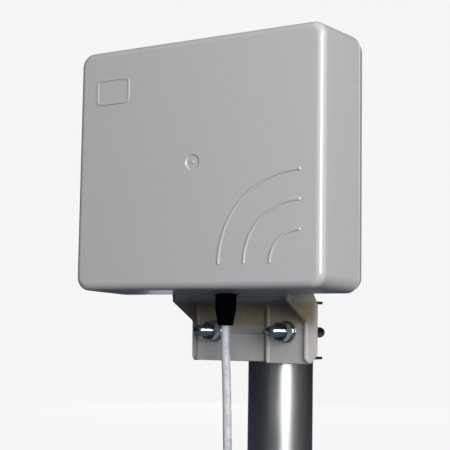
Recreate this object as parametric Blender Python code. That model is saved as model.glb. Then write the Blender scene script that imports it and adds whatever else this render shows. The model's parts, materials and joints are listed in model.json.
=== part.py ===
"""Flat panel directional antenna on a moulded pole bracket, with its U-bolt clamp and coaxial lead.

Lengths are millimetres, scaled to metres by MM. The origin is the centre of the panel's flat rear
face. +Y points back towards the pole, +Z is up and the antenna radiates towards -Y. Left and right
are as seen from in front of the antenna, so +X is right.
"""

import math

import bmesh
import bpy
from mathutils import Vector

MM = 0.001
GAP = 0.3                     # between neighbouring pieces
SHARP_ANGLE = 32.0            # degrees; edges steeper than this are shaded sharp

# panel housing
PANEL_W, PANEL_H, PANEL_D = 204.0, 178.0, 66.0
WALL = 3.0
FRONT_Y = -PANEL_D
INNER_FRONT_Y = FRONT_Y + WALL
SEAM_Y = -21.8                # between the front radome and the rear cover
RIM_Y = SEAM_Y + GAP          # the rear cover's edge at the seam
CORNER_R, FRONT_R = 9.7, 5.4
REAR_DEEP, REAR_IN = -RIM_Y, 6.8     # elliptical rounding of the rear cover: along Y, and inwards
DRAFT = 1.5                   # per side, front smaller than the seam
SPIGOT_OUT, SPIGOT_IN, SPIGOT_DEEP = 5.0, 6.8, 4.0   # insets of its two flanks, and its depth

# screw and post places, (x, z)
COVER_SCREW_AT = [(x, z) for x in (-82.0, 82.0) for z in (-69.0, 0.0, 69.0)]
REFLECTOR_SCREW_AT = [(x, z) for z in (-50.0, 50.0) for x in (-60.0, 60.0)]
BRACKET_SCREW_AT = [(x, z) for z in (-70.0, -56.0) for x in (-36.0, 36.0)]
POST_AT = [(x, z) for z in (-32.0, 32.0) for x in (-36.0, 36.0)]

# inside the panel
REFLECTOR_Y, REFLECTOR_T = -30.0, 1.5
BOARD_Y, BOARD_T = REFLECTOR_Y + REFLECTOR_T + GAP, 1.6
BOARD_BACK_Y = BOARD_Y + BOARD_T
DRIVEN_Y, DIRECTOR_Y, PATCH_T = -46.0, -58.0, 1.0
FEED_Z = -22.0

# lead
LEAD_Y = -18.8
COAX_R = 3.1
BOOT_TOP = -89.35             # top of the boot's thick part, under the panel
BOOT_GAP_X = (-9.5, 9.5)      # opening in the spigot and the gasket
NECK_SEAT_R = 6.1
SWING_Z = -115.1              # where the lead flexes below its boot

# bracket, pole and clamp
BRACKET_TOP, BRACKET_BOTTOM = -50.0, -137.7
BRACKET_HALF_W, BRACKET_WALL = 49.3, 2.8
PAD_Y, CHANNEL_Y, PLATE_BACK_Y, BRACKET_BACK_Y = 17.5, 20.0, 23.0, 30.0
BOSS_BACK_Y = BRACKET_BACK_Y + 1.6   # bolt bosses stand proud, so the saddle jaw bears on them
POLE_Y, POLE_R = 64.2, 25.0
CLAMP_Z = -115.3
ROD_R = 4.0                   # M8
LEG_X = 30.4
BEND_Y = 63.1


# ---------------------------------------------------------------- outlines and profiles

def arc(centre, radius, start, sweep_angle, steps):
    """Points round an arc. Angles are in degrees."""
    angles = [math.radians(start + sweep_angle * k / steps) for k in range(steps + 1)]
    return [(centre[0] + radius * math.cos(angle), centre[1] + radius * math.sin(angle))
            for angle in angles]


def rounded(half_w, half_h, radius, steps=5):
    """A rounded rectangle about (0, 0)."""
    points = []
    for side_x, side_y, start in ((1, 1, 0), (-1, 1, 90), (-1, -1, 180), (1, -1, 270)):
        centre = (side_x * (half_w - radius), side_y * (half_h - radius))
        points += arc(centre, radius, start, 90, steps)
    return points


def hexagon(across_flats, centre, turn):
    radius = across_flats / 2 / math.cos(math.pi / 6)
    return [(centre[0] + radius * math.cos(turn + math.pi / 3 * k),
             centre[1] + radius * math.sin(turn + math.pi / 3 * k)) for k in range(6)]


def tube(inner, outer, start, end):
    """Profile of a plain ring, to be turned."""
    return [(inner, start), (outer, start), (outer, end), (inner, end)]


def rod(radius, start, end):
    """Profile of a plain cylinder, to be turned."""
    return tube(0, radius, start, end)


def span(side, near, far):
    """The range between two distances from the middle, on the side -1 or 1."""
    return sorted((side * near, side * far))


def panel_loop(y, inset, radius):
    """The panel's outline at this y, moved in by inset."""
    inset += DRAFT * max(0.0, SEAM_Y - y) / (PANEL_D + SEAM_Y)
    return [(x, y, z) for x, z in rounded(PANEL_W / 2 - inset, PANEL_H / 2 - inset, radius)]


def edge_rounding(deep, inward, steps):
    """(distance from the face, inset) round a quarter ellipse, from the flank to the face."""
    angles = [math.pi / 2 * k / steps for k in range(steps + 1)]
    return [(deep * (1 - math.sin(angle)), inward * (1 - math.cos(angle))) for angle in angles]


# ---------------------------------------------------------------- solids

def tidy(solid):
    bmesh.ops.remove_doubles(solid, verts=solid.verts, dist=1e-7)
    bmesh.ops.recalc_face_normals(solid, faces=solid.faces)
    if solid.calc_volume(signed=True) < 0:
        bmesh.ops.reverse_faces(solid, faces=solid.faces)
    return solid


def turned(profile, centre, axis, steps):
    """A solid of revolution. The profile is (radius, distance along the axis): open where both
    ends lie on the axis, and a closed ring otherwise."""
    solid = bmesh.new()
    along = Vector(axis).normalized()
    side = along.orthogonal().normalized()
    points = [solid.verts.new((Vector(centre) + along * distance + side * radius) * MM)
              for radius, distance in profile]
    edges = [solid.edges.new(pair) for pair in zip(points, points[1:])]
    if profile[0][0] > 0:
        edges.append(solid.edges.new((points[-1], points[0])))
    bmesh.ops.spin(solid, geom=points + edges, cent=Vector(centre) * MM, axis=along,
                   angle=2 * math.pi, steps=steps, use_merge=True)
    return tidy(solid)


def turned_y(profile, x, z, steps):
    """Turned about a line along Y. The profile is (radius, y)."""
    return turned(profile, (x, 0, z), (0, 1, 0), steps)


def turned_z(profile, x, y, steps):
    """Turned about a line along Z. The profile is (radius, z)."""
    return turned(profile, (x, y, 0), (0, 0, 1), steps)


def on_plane(plane, across, up, level):
    """mm to a world point: plane XY has its normal along Z, XZ along Y, and YZ along X."""
    points = {"XY": (across, up, level), "XZ": (across, level, up), "YZ": (level, across, up)}
    return Vector(points[plane]) * MM


def prism(outline, plane, start, end):
    """An outline extruded square to its plane from start to end."""
    solid = bmesh.new()
    face = solid.faces.new([solid.verts.new(on_plane(plane, *point, start)) for point in outline])
    grown = bmesh.ops.extrude_face_region(solid, geom=[face])
    moved = [item for item in grown["geom"] if isinstance(item, bmesh.types.BMVert)]
    travel = on_plane(plane, 0, 0, end) - on_plane(plane, 0, 0, start)
    bmesh.ops.translate(solid, verts=moved, vec=travel)
    return tidy(solid)


def box(x, y, z):
    """Each argument is a (low, high) range."""
    return prism([(x[0], y[0]), (x[1], y[0]), (x[1], y[1]), (x[0], y[1])], "XY", z[0], z[1])


def skin(loops, closed=False):
    """Equal loops of points, bridged in a chain: capped at both ends, or closed on itself."""
    solid = bmesh.new()
    rings = [[solid.verts.new(Vector(point) * MM) for point in loop] for loop in loops]
    following = rings[1:] + rings[:1] if closed else rings[1:]
    for one, two in zip(rings, following):
        for i in range(len(one)):
            j = (i + 1) % len(one)
            solid.faces.new((one[i], one[j], two[j], two[i]))
    if not closed:
        solid.faces.new(rings[0])
        solid.faces.new(rings[-1])
    return tidy(solid)


def sweep(stations, sides):
    """A round bar through stations of (point, radius), with flat ends."""
    points = [Vector(point) for point, _ in stations]
    last = len(points) - 1
    headings = [(points[min(i + 1, last)] - points[max(i - 1, 0)]).normalized()
                for i in range(len(points))]
    angles = [2 * math.pi * k / sides for k in range(sides)]
    side = headings[0].orthogonal().normalized()
    loops = []
    for point, (_, radius), heading in zip(points, stations, headings):
        side = (side - heading * side.dot(heading)).normalized()
        other = heading.cross(side)
        loops.append([point + (side * math.cos(angle) + other * math.sin(angle)) * radius
                      for angle in angles])
    return skin(loops)


# ---------------------------------------------------------------- scene objects

def clear_scene():
    for obj in list(bpy.data.objects):
        bpy.data.objects.remove(obj, do_unlink=True)


def material(name, colour, roughness, metallic=0.0):
    made = bpy.data.materials.new(name)
    made.use_nodes = True
    shader = made.node_tree.nodes["Principled BSDF"]
    shader.inputs["Base Color"].default_value = (*colour, 1.0)
    shader.inputs["Roughness"].default_value = roughness
    shader.inputs["Metallic"].default_value = metallic
    made.diffuse_color = (*colour, 1.0)
    return made


def world_origin(obj):
    """Where the object's origin lies, in metres. The parents are never turned or scaled."""
    total = Vector()
    while obj is not None:
        total += obj.location
        obj = obj.parent
    return total


def pivot(name, origin, parent=None):
    empty = bpy.data.objects.new(name, None)
    empty.empty_display_size = 0.02
    bpy.context.collection.objects.link(empty)
    empty.parent = parent
    empty.location = Vector(origin) * MM - world_origin(parent)
    return empty


def link_mesh(name, solid):
    mesh = bpy.data.meshes.new(name)
    solid.to_mesh(mesh)
    solid.free()
    obj = bpy.data.objects.new(name, mesh)
    bpy.context.collection.objects.link(obj)
    return obj


def place(name, solid, finish, origin, parent=None):
    """Makes the piece. Its origin is where it turns or sits, and its mesh is relative to that."""
    offset = Vector(origin) * MM
    bmesh.ops.translate(solid, verts=solid.verts, vec=-offset)
    obj = link_mesh(name, solid)
    obj.data.materials.append(finish)
    obj.data.shade_smooth()
    obj.data.set_sharp_from_angle(angle=math.radians(SHARP_ANGLE))
    obj.parent = parent
    obj.location = offset - world_origin(parent)
    return obj


def combine(obj, operation, solid, label, solver):
    helper = link_mesh(f"{obj.name}_{label}", solid)
    helper.hide_render = True
    helper.display_type = "WIRE"
    modifier = obj.modifiers.new(label, "BOOLEAN")
    modifier.operation = operation
    modifier.object = helper
    modifier.solver = solver


def join(obj, solid, label, solver="EXACT"):
    combine(obj, "UNION", solid, label, solver)


def cut(obj, solid, label, solver="EXACT"):
    combine(obj, "DIFFERENCE", solid, label, solver)


clear_scene()

housing_grey = material("moulded_grey", (0.42, 0.42, 0.42), roughness=0.42)
bracket_grey = material("bracket_grey", (0.36, 0.35, 0.34), roughness=0.5)
zinc = material("zinc_plated_steel", (0.62, 0.66, 0.68), roughness=0.25, metallic=1.0)
galvanised = material("pole_steel", (0.55, 0.55, 0.54), roughness=0.28, metallic=1.0)
boot_black = material("boot_rubber", (0.012, 0.012, 0.013), roughness=0.6)
jacket = material("coax_jacket", (0.82, 0.82, 0.83), roughness=0.4)
aluminium = material("aluminium_sheet", (0.75, 0.76, 0.78), roughness=0.35, metallic=1.0)
laminate = material("board_laminate", (0.05, 0.23, 0.12), roughness=0.5)
nylon = material("white_nylon", (0.86, 0.85, 0.8), roughness=0.5)
brass = material("brass", (0.78, 0.6, 0.28), roughness=0.3, metallic=1.0)
gasket_black = material("gasket_rubber", (0.05, 0.05, 0.05), roughness=0.8)
nickel = material("nickel_plate", (0.7, 0.69, 0.66), roughness=0.2, metallic=1.0)
insulator_white = material("insulator", (0.9, 0.9, 0.88), roughness=0.4)

azimuth = pivot("azimuth_swivel", (0, POLE_Y, CLAMP_Z))
clamp = pivot("u_bolt_slide", (0, BEND_Y, CLAMP_Z), azimuth)
lead = pivot("lead_swing", (0, LEAD_Y, SWING_Z), azimuth)


# ---------------------------------------------------------------- panel housing

BADGE_AT, BADGE_W, BADGE_H, BADGE_R = (-69.5, 56.5), 29.0, 19.0, 3.0
ARC_CENTRE, ARC_RADII, ARC_HALF_W = (83.0, -70.7), (60.8, 41.0, 21.3), 1.2
RAISED, MARK_ROOT = 0.7, 1.0          # marks: height above the front face, and depth below it
GATE_STUB_R, GATE_SINK_R, GATE_SINK_DEEP = 0.9, 5.3, 0.45
INNER_CHAMFER = 2.0
COVER_BOSS_BACK_Y = -14.4
BOSS_ROOT_Y = -2.0                    # the rear cover's bosses start inside its wall
SPIGOT_OUT_R, SPIGOT_IN_R = CORNER_R - 4.0, CORNER_R - 5.0


def front_marks():
    """What stands proud of the front face: three quarter arcs and a blank badge."""
    outlines = []
    for radius in ARC_RADII:
        outer = arc(ARC_CENTRE, radius + ARC_HALF_W, 90, 90, 14)
        inner = arc(ARC_CENTRE, radius - ARC_HALF_W, 90, 90, 14)
        outlines.append(outer + inner[::-1])
    outlines.append([(BADGE_AT[0] + x, BADGE_AT[1] + z)
                     for x, z in rounded(BADGE_W / 2, BADGE_H / 2, BADGE_R, 4)])
    return [prism(outline, "XZ", FRONT_Y - RAISED, FRONT_Y + MARK_ROOT) for outline in outlines]


def build_front_radome():
    # (y, inset, corner radius): up the inside to the seam, then forward along the outside
    inner_r = CORNER_R - WALL
    stations = [
        (INNER_FRONT_Y, WALL + INNER_CHAMFER, inner_r - INNER_CHAMFER),
        (INNER_FRONT_Y + INNER_CHAMFER, WALL, inner_r),
        (SEAM_Y, WALL, inner_r),
        (SEAM_Y, 0.0, CORNER_R),
    ]
    stations += [(FRONT_Y + behind, inset, CORNER_R - 0.8 * inset)
                 for behind, inset in edge_rounding(FRONT_R, FRONT_R, 3)]
    shell = skin([panel_loop(*station) for station in stations])
    radome = place("front_radome", shell, housing_grey, (0, FRONT_Y, 0), azimuth)
    for number, mark in enumerate(front_marks(), 1):
        join(radome, mark, f"mark_{number}", "MANIFOLD")
    # gate mark: a shallow round sink with the gate's stub left standing in the middle
    sink = tube(GATE_STUB_R, GATE_SINK_R, -GATE_SINK_DEEP, 1.0)
    cut(radome, turned(sink, (0, FRONT_Y, 0), (0, -1, 0), 24), "gate_sink", "MANIFOLD")
    boss = rod(4.0, INNER_FRONT_Y - 1.0, COVER_BOSS_BACK_Y)
    pilot = rod(1.75, -30.0, -10.0)
    for number, (x, z) in enumerate(COVER_SCREW_AT, 1):
        join(radome, turned_y(boss, x, z, 10), f"boss_{number}", "MANIFOLD")
        cut(radome, turned_y(pilot, x, z, 10), f"pilot_{number}", "MANIFOLD")
    # the boot's neck drops into a scallop in the bottom wall, open to the seam
    slot = [(-NECK_SEAT_R, 0.0), (NECK_SEAT_R, 0.0)] + arc((0, LEAD_Y), NECK_SEAT_R, 0, -180, 9)
    cut(radome, prism(slot, "XY", -92.0, -82.0), "boot_slot", "MANIFOLD")


def rear_cover_shell():
    """A shallow pan with a rounded rear edge and a spigot that goes inside the radome."""
    spigot_front = SEAM_Y - SPIGOT_DEEP
    # (y, inset, corner radius)
    stations = [
        (-WALL, SPIGOT_IN + 2.6, 1.4),
        (-WALL - 3.0, SPIGOT_IN, SPIGOT_IN_R),
        (spigot_front, SPIGOT_IN, SPIGOT_IN_R),
        (spigot_front, SPIGOT_OUT, SPIGOT_OUT_R),
        (RIM_Y, SPIGOT_OUT, SPIGOT_OUT_R),
    ]
    stations += [(-ahead, inset, CORNER_R - inset * 0.55)
                 for ahead, inset in edge_rounding(REAR_DEEP, REAR_IN, 6)]
    shell = skin([panel_loop(*station) for station in stations])
    # the flat rear face is parted along a line just above the bracket
    back_face = [face for face in shell.faces if all(abs(v.co.y) < 1e-7 for v in face.verts)]
    geometry = (back_face + [edge for face in back_face for edge in face.edges]
                + [vert for face in back_face for vert in face.verts])
    bmesh.ops.bisect_plane(shell, geom=geometry, plane_co=Vector((0, 0, BRACKET_TOP + 1.0)) * MM,
                           plane_no=(0, 0, 1))
    return shell


def build_rear_cover():
    cover = place("rear_cover", rear_cover_shell(), housing_grey, (0, 0, 0), azimuth)
    counterbore = [(0, -20.0), (1.8, -20.0), (1.8, -2.6), (3.4, -2.6), (3.4, 5.0), (0, 5.0)]
    # places, then the boss and the hole in it: (label, profile, segments)
    features = (
        (COVER_SCREW_AT,
         ("sleeve", rod(4.5, COVER_BOSS_BACK_Y + GAP, BOSS_ROOT_Y), 10),
         ("counterbore", counterbore, 10)),
        (REFLECTOR_SCREW_AT,
         ("post", rod(4.0, REFLECTOR_Y + REFLECTOR_T + GAP, BOSS_ROOT_Y), 10),
         ("post_pilot", rod(1.8, -35.0, -16.0), 10)),
        (BRACKET_SCREW_AT,
         ("insert_boss", rod(5.6, -14.0, BOSS_ROOT_Y), 12),
         ("insert_hole", rod(3.9, -12.0, 5.0), 14)),
    )
    for places, (boss_label, boss, boss_steps), (hole_label, hole, hole_steps) in features:
        for number, (x, z) in enumerate(places, 1):
            join(cover, turned_y(boss, x, z, boss_steps), f"{boss_label}_{number}", "MANIFOLD")
            cut(cover, turned_y(hole, x, z, hole_steps), f"{hole_label}_{number}", "MANIFOLD")
    # the boot sits astride the seam: a gap in the spigot, a neck seat and a flange pocket
    spigot_gap = box(BOOT_GAP_X, (-26.6, SEAM_Y - 0.05), (-86.0, -79.0))
    cut(cover, spigot_gap, "boot_gap", "MANIFOLD")
    seat = [(0, -93.0), (NECK_SEAT_R, -93.0), (NECK_SEAT_R, -85.8), (7.4, -85.8), (7.4, -79.0),
            (0, -79.0)]
    cut(cover, turned_z(seat, 0, LEAD_Y, 20), "boot_seat", "MANIFOLD")


def build_seam_gasket():
    """Fills the gap between the spigot and the radome's wall, open where the boot passes."""
    outer_inset, inner_inset = WALL + GAP, SPIGOT_OUT - GAP
    outer = rounded(PANEL_W / 2 - outer_inset, PANEL_H / 2 - outer_inset, CORNER_R - outer_inset)
    inner = rounded(PANEL_W / 2 - inner_inset, PANEL_H / 2 - inner_inset,
                    CORNER_R - inner_inset + 0.3)
    front, back = SEAM_Y - 3.4, SEAM_Y - 0.5
    corners = ((outer, front), (outer, back), (inner, back), (inner, front))
    seal = skin([[(x, y, z) for x, z in outline] for outline, y in corners], closed=True)
    gasket = place("seam_gasket", seal, gasket_black, (0, SEAM_Y, 0), azimuth)
    cut(gasket, box(BOOT_GAP_X, (-30.0, 0.0), (-95.0, -70.0)), "boot_gap")


def build_cover_screws():
    profile = [(0, -0.6), (3.0, -0.6), (3.0, -2.3), (1.45, -2.3), (1.45, -25.0), (0, -26.5)]
    for number, (x, z) in enumerate(COVER_SCREW_AT, 1):
        place(f"cover_screw_{number}", turned_y(profile, x, z, 10), zinc, (x, 0, z), azimuth)


# ---------------------------------------------------------------- inside the panel

REFLECTOR_HALF_W, REFLECTOR_HALF_H = 76.0, 80.0
REFLECTOR_LIP = 8.0
LIP_OVERLAP, LIP_SHORT = 0.7, 4.0     # into the tray's sheet, and shy of each corner
HOLE_OVERRUN = 4.0


def plate(name, half_size, y, thickness, finish, holes, corner=3.0):
    """A rounded sheet facing along Y. Holes are (x, z, radius)."""
    outline = rounded(*half_size, corner, 3)
    obj = place(name, prism(outline, "XZ", y, y + thickness), finish, (0, y, 0), azimuth)
    for number, (x, z, radius) in enumerate(holes, 1):
        hole = rod(radius, y - HOLE_OVERRUN, y + thickness + HOLE_OVERRUN)
        cut(obj, turned_y(hole, x, z, 10), f"hole_{number}")
    return obj


def holes_at(places, radius):
    return [(x, z, radius) for x, z in places]


def build_reflector():
    holes = holes_at(POST_AT, 2.2) + holes_at(REFLECTOR_SCREW_AT, 1.8) + [(0, FEED_Z, 3.0)]
    tray = plate("reflector_tray", (REFLECTOR_HALF_W, REFLECTOR_HALF_H), REFLECTOR_Y, REFLECTOR_T,
                 aluminium, holes)
    lip_y = (REFLECTOR_Y - REFLECTOR_LIP, REFLECTOR_Y + LIP_OVERLAP)
    lip_x = (-REFLECTOR_HALF_W + LIP_SHORT, REFLECTOR_HALF_W - LIP_SHORT)
    lip_z = (-REFLECTOR_HALF_H + LIP_SHORT, REFLECTOR_HALF_H - LIP_SHORT)
    for number, side in enumerate((-1, 1), 1):
        x = span(side, REFLECTOR_HALF_W, REFLECTOR_HALF_W - REFLECTOR_T)
        join(tray, box(x, lip_y, lip_z), f"lip_{number}")
        z = span(side, REFLECTOR_HALF_H, REFLECTOR_HALF_H - REFLECTOR_T)
        join(tray, box(lip_x, lip_y, z), f"end_lip_{number}")


def build_board_and_patches():
    pin_hole = [(0, FEED_Z, 1.3)]
    plate("feed_board", (50.0, 42.0), BOARD_Y, BOARD_T, laminate,
          holes_at(POST_AT, 2.2) + pin_hole, corner=1.0)
    plate("driven_patch", (58.0, 52.0), DRIVEN_Y, PATCH_T, aluminium,
          holes_at(POST_AT, 2.3) + pin_hole)
    plate("director_patch", (50.0, 45.0), DIRECTOR_Y, PATCH_T, aluminium, holes_at(POST_AT, 2.3))


def build_patch_posts():
    """Stepped posts, necked where they pass through the board, the tray and the patches."""
    neck = 1.8
    driven_back, director_back = DRIVEN_Y + PATCH_T + GAP, DIRECTOR_Y + PATCH_T + GAP
    profile = [
        (0, BOARD_BACK_Y + 2.2), (2.6, BOARD_BACK_Y + GAP), (neck, BOARD_BACK_Y + GAP),
        (neck, REFLECTOR_Y - GAP), (3.6, REFLECTOR_Y - GAP),
        (3.6, driven_back), (neck, driven_back),
        (neck, DRIVEN_Y - GAP), (2.6, DRIVEN_Y - GAP), (2.6, DRIVEN_Y - 2.0), (3.2, DRIVEN_Y - 2.0),
        (3.2, director_back), (neck, director_back),
        (neck, DIRECTOR_Y - GAP), (2.7, DIRECTOR_Y - GAP), (0, DIRECTOR_Y - 2.4),
    ]
    for number, (x, z) in enumerate(POST_AT, 1):
        place(f"patch_post_{number}", turned_y(profile, x, z, 8), nylon, (x, REFLECTOR_Y, z),
              azimuth)


def build_feed_pin():
    profile = [(0, BOARD_BACK_Y + 1.2), (0.9, BOARD_BACK_Y + 0.9), (0.9, DRIVEN_Y - 0.6),
               (0, DRIVEN_Y - 1.0)]
    place("feed_pin", turned_y(profile, 0, FEED_Z, 10), brass, (0, REFLECTOR_Y, FEED_Z), azimuth)


def build_reflector_screws():
    profile = [(0, REFLECTOR_Y - 2.4), (2.8, REFLECTOR_Y - 2.2), (2.8, REFLECTOR_Y - GAP),
               (1.45, REFLECTOR_Y - GAP), (1.45, -19.0), (0, -18.0)]
    for number, (x, z) in enumerate(REFLECTOR_SCREW_AT, 1):
        place(f"reflector_screw_{number}", turned_y(profile, x, z, 10), zinc, (x, REFLECTOR_Y, z),
              azimuth)


# ---------------------------------------------------------------- lead

BOOT_STRAIGHT, BOOT_END = -99.3, -111.4
FLANGE_BOTTOM, FLANGE_TOP = -85.4, -83.0      # of the boot, inside the panel
NECK_R, FLANGE_R, BOOT_R, BOOT_TIP_R = 5.7, 7.0, 7.6, 5.5
CORE_R = 1.0                  # the stripped lead inside the panel
COAX_END = -268.0
LEAD_SET = 4.6                # how far right of its boot the lead hangs at the plug
DRIFT_RUN = 95.0              # drop over which the lead would drift by LEAD_SET
EASE_IN, DRIFT_KNEE, EASE_OUT = 0.04, 0.85, 0.3   # how the drift starts and levels off
FERRULE_TOP, FERRULE_END = -255.0, -269.0
BODY_TOP = FERRULE_END - GAP
NUT_SPIN_Z = -290.0
CONNECTOR_FACE = -303.5


def build_boot():
    bore = COAX_R + 0.35
    profile = [(bore, BOOT_END), (BOOT_TIP_R, BOOT_END), (BOOT_R, BOOT_STRAIGHT),
               (BOOT_R, BOOT_TOP), (NECK_R, BOOT_TOP), (NECK_R, FLANGE_BOTTOM),
               (FLANGE_R, FLANGE_BOTTOM), (FLANGE_R, FLANGE_TOP), (bore, FLANGE_TOP)]
    place("strain_relief_boot", turned_z(profile, 0, LEAD_Y, 24), boot_black,
          (0, LEAD_Y, BOOT_TOP), azimuth)


def build_feed_tail():
    """The lead inside the boot and the panel, its stripped end bending forward to the feed pin."""
    # (y, z, radius)
    stations = [
        (LEAD_Y, BOOT_END - GAP, COAX_R), (LEAD_Y, -34.0, COAX_R),
        (LEAD_Y, -33.5, CORE_R), (LEAD_Y, -27.0, CORE_R),
        (LEAD_Y - 1.6, -23.6, CORE_R), (LEAD_Y - 4.0, FEED_Z, CORE_R), (-25.3, FEED_Z, CORE_R),
    ]
    tail = sweep([((0, y, z), radius) for y, z, radius in stations], 12)
    place("coax_feed_tail", tail, jacket, (0, LEAD_Y, BOOT_TOP), azimuth)


def lead_offset(z):
    """How far the lead has drifted to the right at this height."""
    drop = (SWING_Z - z) / DRIFT_RUN
    run = math.sqrt(drop * drop + EASE_IN ** 2) - EASE_IN
    if run > DRIFT_KNEE:
        over = min(run - DRIFT_KNEE, EASE_OUT)
        run = DRIFT_KNEE + over - over * over / (2 * EASE_OUT)
    return LEAD_SET * run


def build_cable():
    stations = []
    # the domed top end, by angle from the top
    for degrees in (12, 34, 60, 90):
        angle = math.radians(degrees)
        centre = (0, LEAD_Y, SWING_Z + COAX_R * math.cos(angle))
        stations.append((centre, COAX_R * math.sin(angle)))
    for z in (-130, -144, -158, -172, -186, -200, -214, -229, COAX_END):
        stations.append(((lead_offset(z), LEAD_Y, z), COAX_R))
    place("coax_cable", sweep(stations, 12), jacket, (0, LEAD_Y, SWING_Z), lead)


def place_on_plug(name, profile, steps, finish, z, parent):
    """A piece turned about the connector's axis. The profile is (radius, z)."""
    place(name, turned_z(profile, LEAD_SET, LEAD_Y, steps), finish, (LEAD_SET, LEAD_Y, z), parent)


def build_connector():
    place_on_plug("crimp_ferrule", tube(COAX_R + 0.25, 4.1, FERRULE_TOP, FERRULE_END), 16,
                  nickel, FERRULE_TOP, lead)
    body = [
        (2.7, BODY_TOP), (5.2, BODY_TOP), (5.2, -275.0), (7.5, -275.4), (7.5, -283.0),
        (5.6, -283.0), (5.6, -287.0), (6.8, -287.0), (6.8, -290.0), (4.1, -290.0),
        (4.1, -301.0), (2.7, -301.0),
    ]
    place_on_plug("connector_body", body, 20, nickel, BODY_TOP, lead)
    place_on_plug("connector_insulator", tube(1.05, 2.4, -272.0, -297.0), 14, insulator_white,
                  -272.0, lead)
    pin = [(0, -270.5), (0.8, -270.5), (0.8, -300.5), (0, -302.5)]
    place_on_plug("connector_pin", pin, 12, brass, -270.5, lead)
    spin = pivot("connector_nut_spin", (LEAD_SET, LEAD_Y, NUT_SPIN_Z), lead)
    nut = [
        (5.9, -283.4), (9.0, -283.4), (10.2, -285.0), (10.2, -302.5), (9.8, CONNECTOR_FACE),
        (7.9, CONNECTOR_FACE), (7.9, -286.6), (5.9, -286.6),
    ]
    place_on_plug("connector_coupling_nut", nut, 24, nickel, NUT_SPIN_Z, spin)


# ---------------------------------------------------------------- moulded bracket

PANEL_CLEARANCE = GAP + 0.05
GUSSET_REACH = 14.9           # how far forward the side walls follow the panel's rounding
PAD_EDGE_X = 12.8
BOLT_BOSS_R = 8.0


def under_panel(steps=6):
    """(y, z) along the panel's rear lower edge, at a small gap, back to its rear face."""
    first = math.asin(1 - GUSSET_REACH / REAR_DEEP)
    points = []
    for k in range(steps + 1):
        angle = first + (math.pi / 2 - first) * k / steps
        normal = Vector((math.sin(angle) / REAR_DEEP, -math.cos(angle) / REAR_IN)).normalized()
        out = normal * PANEL_CLEARANCE
        points.append((-REAR_DEEP * (1 - math.sin(angle)) + out.x,
                       -PANEL_H / 2 + REAR_IN * (1 - math.cos(angle)) + out.y))
    return points


def side_wall_outline():
    """(y, z)"""
    back_slope = [(GAP, BRACKET_TOP), (4.0, BRACKET_TOP), (9.5, -64.0), (23.0, -87.2),
                  (BRACKET_BACK_Y, -95.0), (BRACKET_BACK_Y, -131.4)]
    foot = [(26.0, -134.6), (20.6, BRACKET_BOTTOM), (16.0, BRACKET_BOTTOM), (13.5, -134.6),
            (13.2, -108.0), (-14.7, -94.0)]
    return under_panel() + back_slope + foot


def add_pads_ribs_bosses(bracket):
    # (y, z), just inside the side walls' outline
    rib = [
        (0.6, BRACKET_TOP + 0.2), (3.8, BRACKET_TOP + 0.2), (9.3, -64.3), (22.8, -87.5),
        (BRACKET_BACK_Y, -95.3), (BRACKET_BACK_Y, -131.2), (25.9, -134.4),
        (21.0, BRACKET_BOTTOM + 0.4), (21.0, -91.0), (0.6, -91.0),
    ]
    boss = rod(BOLT_BOSS_R, PLATE_BACK_Y - 1.0, BOSS_BACK_Y)
    for number, side in enumerate((-1, 1), 1):
        pad = box(span(side, PAD_EDGE_X, BRACKET_HALF_W - 1.0), (PAD_Y, PLATE_BACK_Y - 0.6),
                  (BRACKET_BOTTOM + 0.1, -89.7))
        join(bracket, pad, f"pad_{number}")
        rib_x = span(side, PAD_EDGE_X - 1.3, PAD_EDGE_X + 1.2)
        join(bracket, prism(rib, "YZ", *rib_x), f"rib_{number}")
        join(bracket, turned_y(boss, side * LEG_X, CLAMP_Z, 20), f"bolt_boss_{number}")


def build_bracket():
    left, right = -BRACKET_HALF_W, BRACKET_HALF_W
    wall = side_wall_outline()
    bracket = place("mount_bracket", prism(wall, "YZ", left, left + BRACKET_WALL), bracket_grey,
                    (0, GAP, -63.0), azimuth)
    front_plate = box((left + 0.5, right - 0.5), (CHANNEL_Y, PLATE_BACK_Y),
                      (BRACKET_BOTTOM + 0.2, -89.8))
    join(bracket, front_plate, "front_plate")
    join(bracket, prism(wall, "YZ", right - BRACKET_WALL, right), "right_wall")
    add_pads_ribs_bosses(bracket)
    # (y, z)
    shelf = [(-14.2, -89.4), (-14.2, -90.5), (3.0, -91.3), (11.0, -93.0), (17.0, -96.0),
             (PLATE_BACK_Y - 0.4, -103.0), (PLATE_BACK_Y - 0.4, -89.4)]
    join(bracket, prism(shelf, "YZ", left + 0.6, right - 0.6), "shelf")
    upright = box((left + 0.4, right - 0.4), (PANEL_CLEARANCE, 4.0), (-92.2, BRACKET_TOP - 0.1))
    join(bracket, upright, "upright")
    level_rib = box((-46.0, 46.0), (CHANNEL_Y - 1.3, PLATE_BACK_Y - 0.8),
                    (CLAMP_Z - 1.2, CLAMP_Z + 0.6))
    join(bracket, level_rib, "level_rib")
    for number, side in enumerate((-1, 1), 1):
        hole = turned_y(rod(ROD_R + 0.6, 5.0, 40.0), side * LEG_X, CLAMP_Z, 20)
        cut(bracket, hole, f"bolt_hole_{number}")
    cut(bracket, turned_z(rod(8.6, -96.0, -86.0), 0, LEAD_Y, 20), "boot_notch")
    for number, (x, z) in enumerate(BRACKET_SCREW_AT, 1):
        cut(bracket, turned_y(rod(2.8, -3.0, 12.0), x, z, 14), f"screw_hole_{number}")


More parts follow.
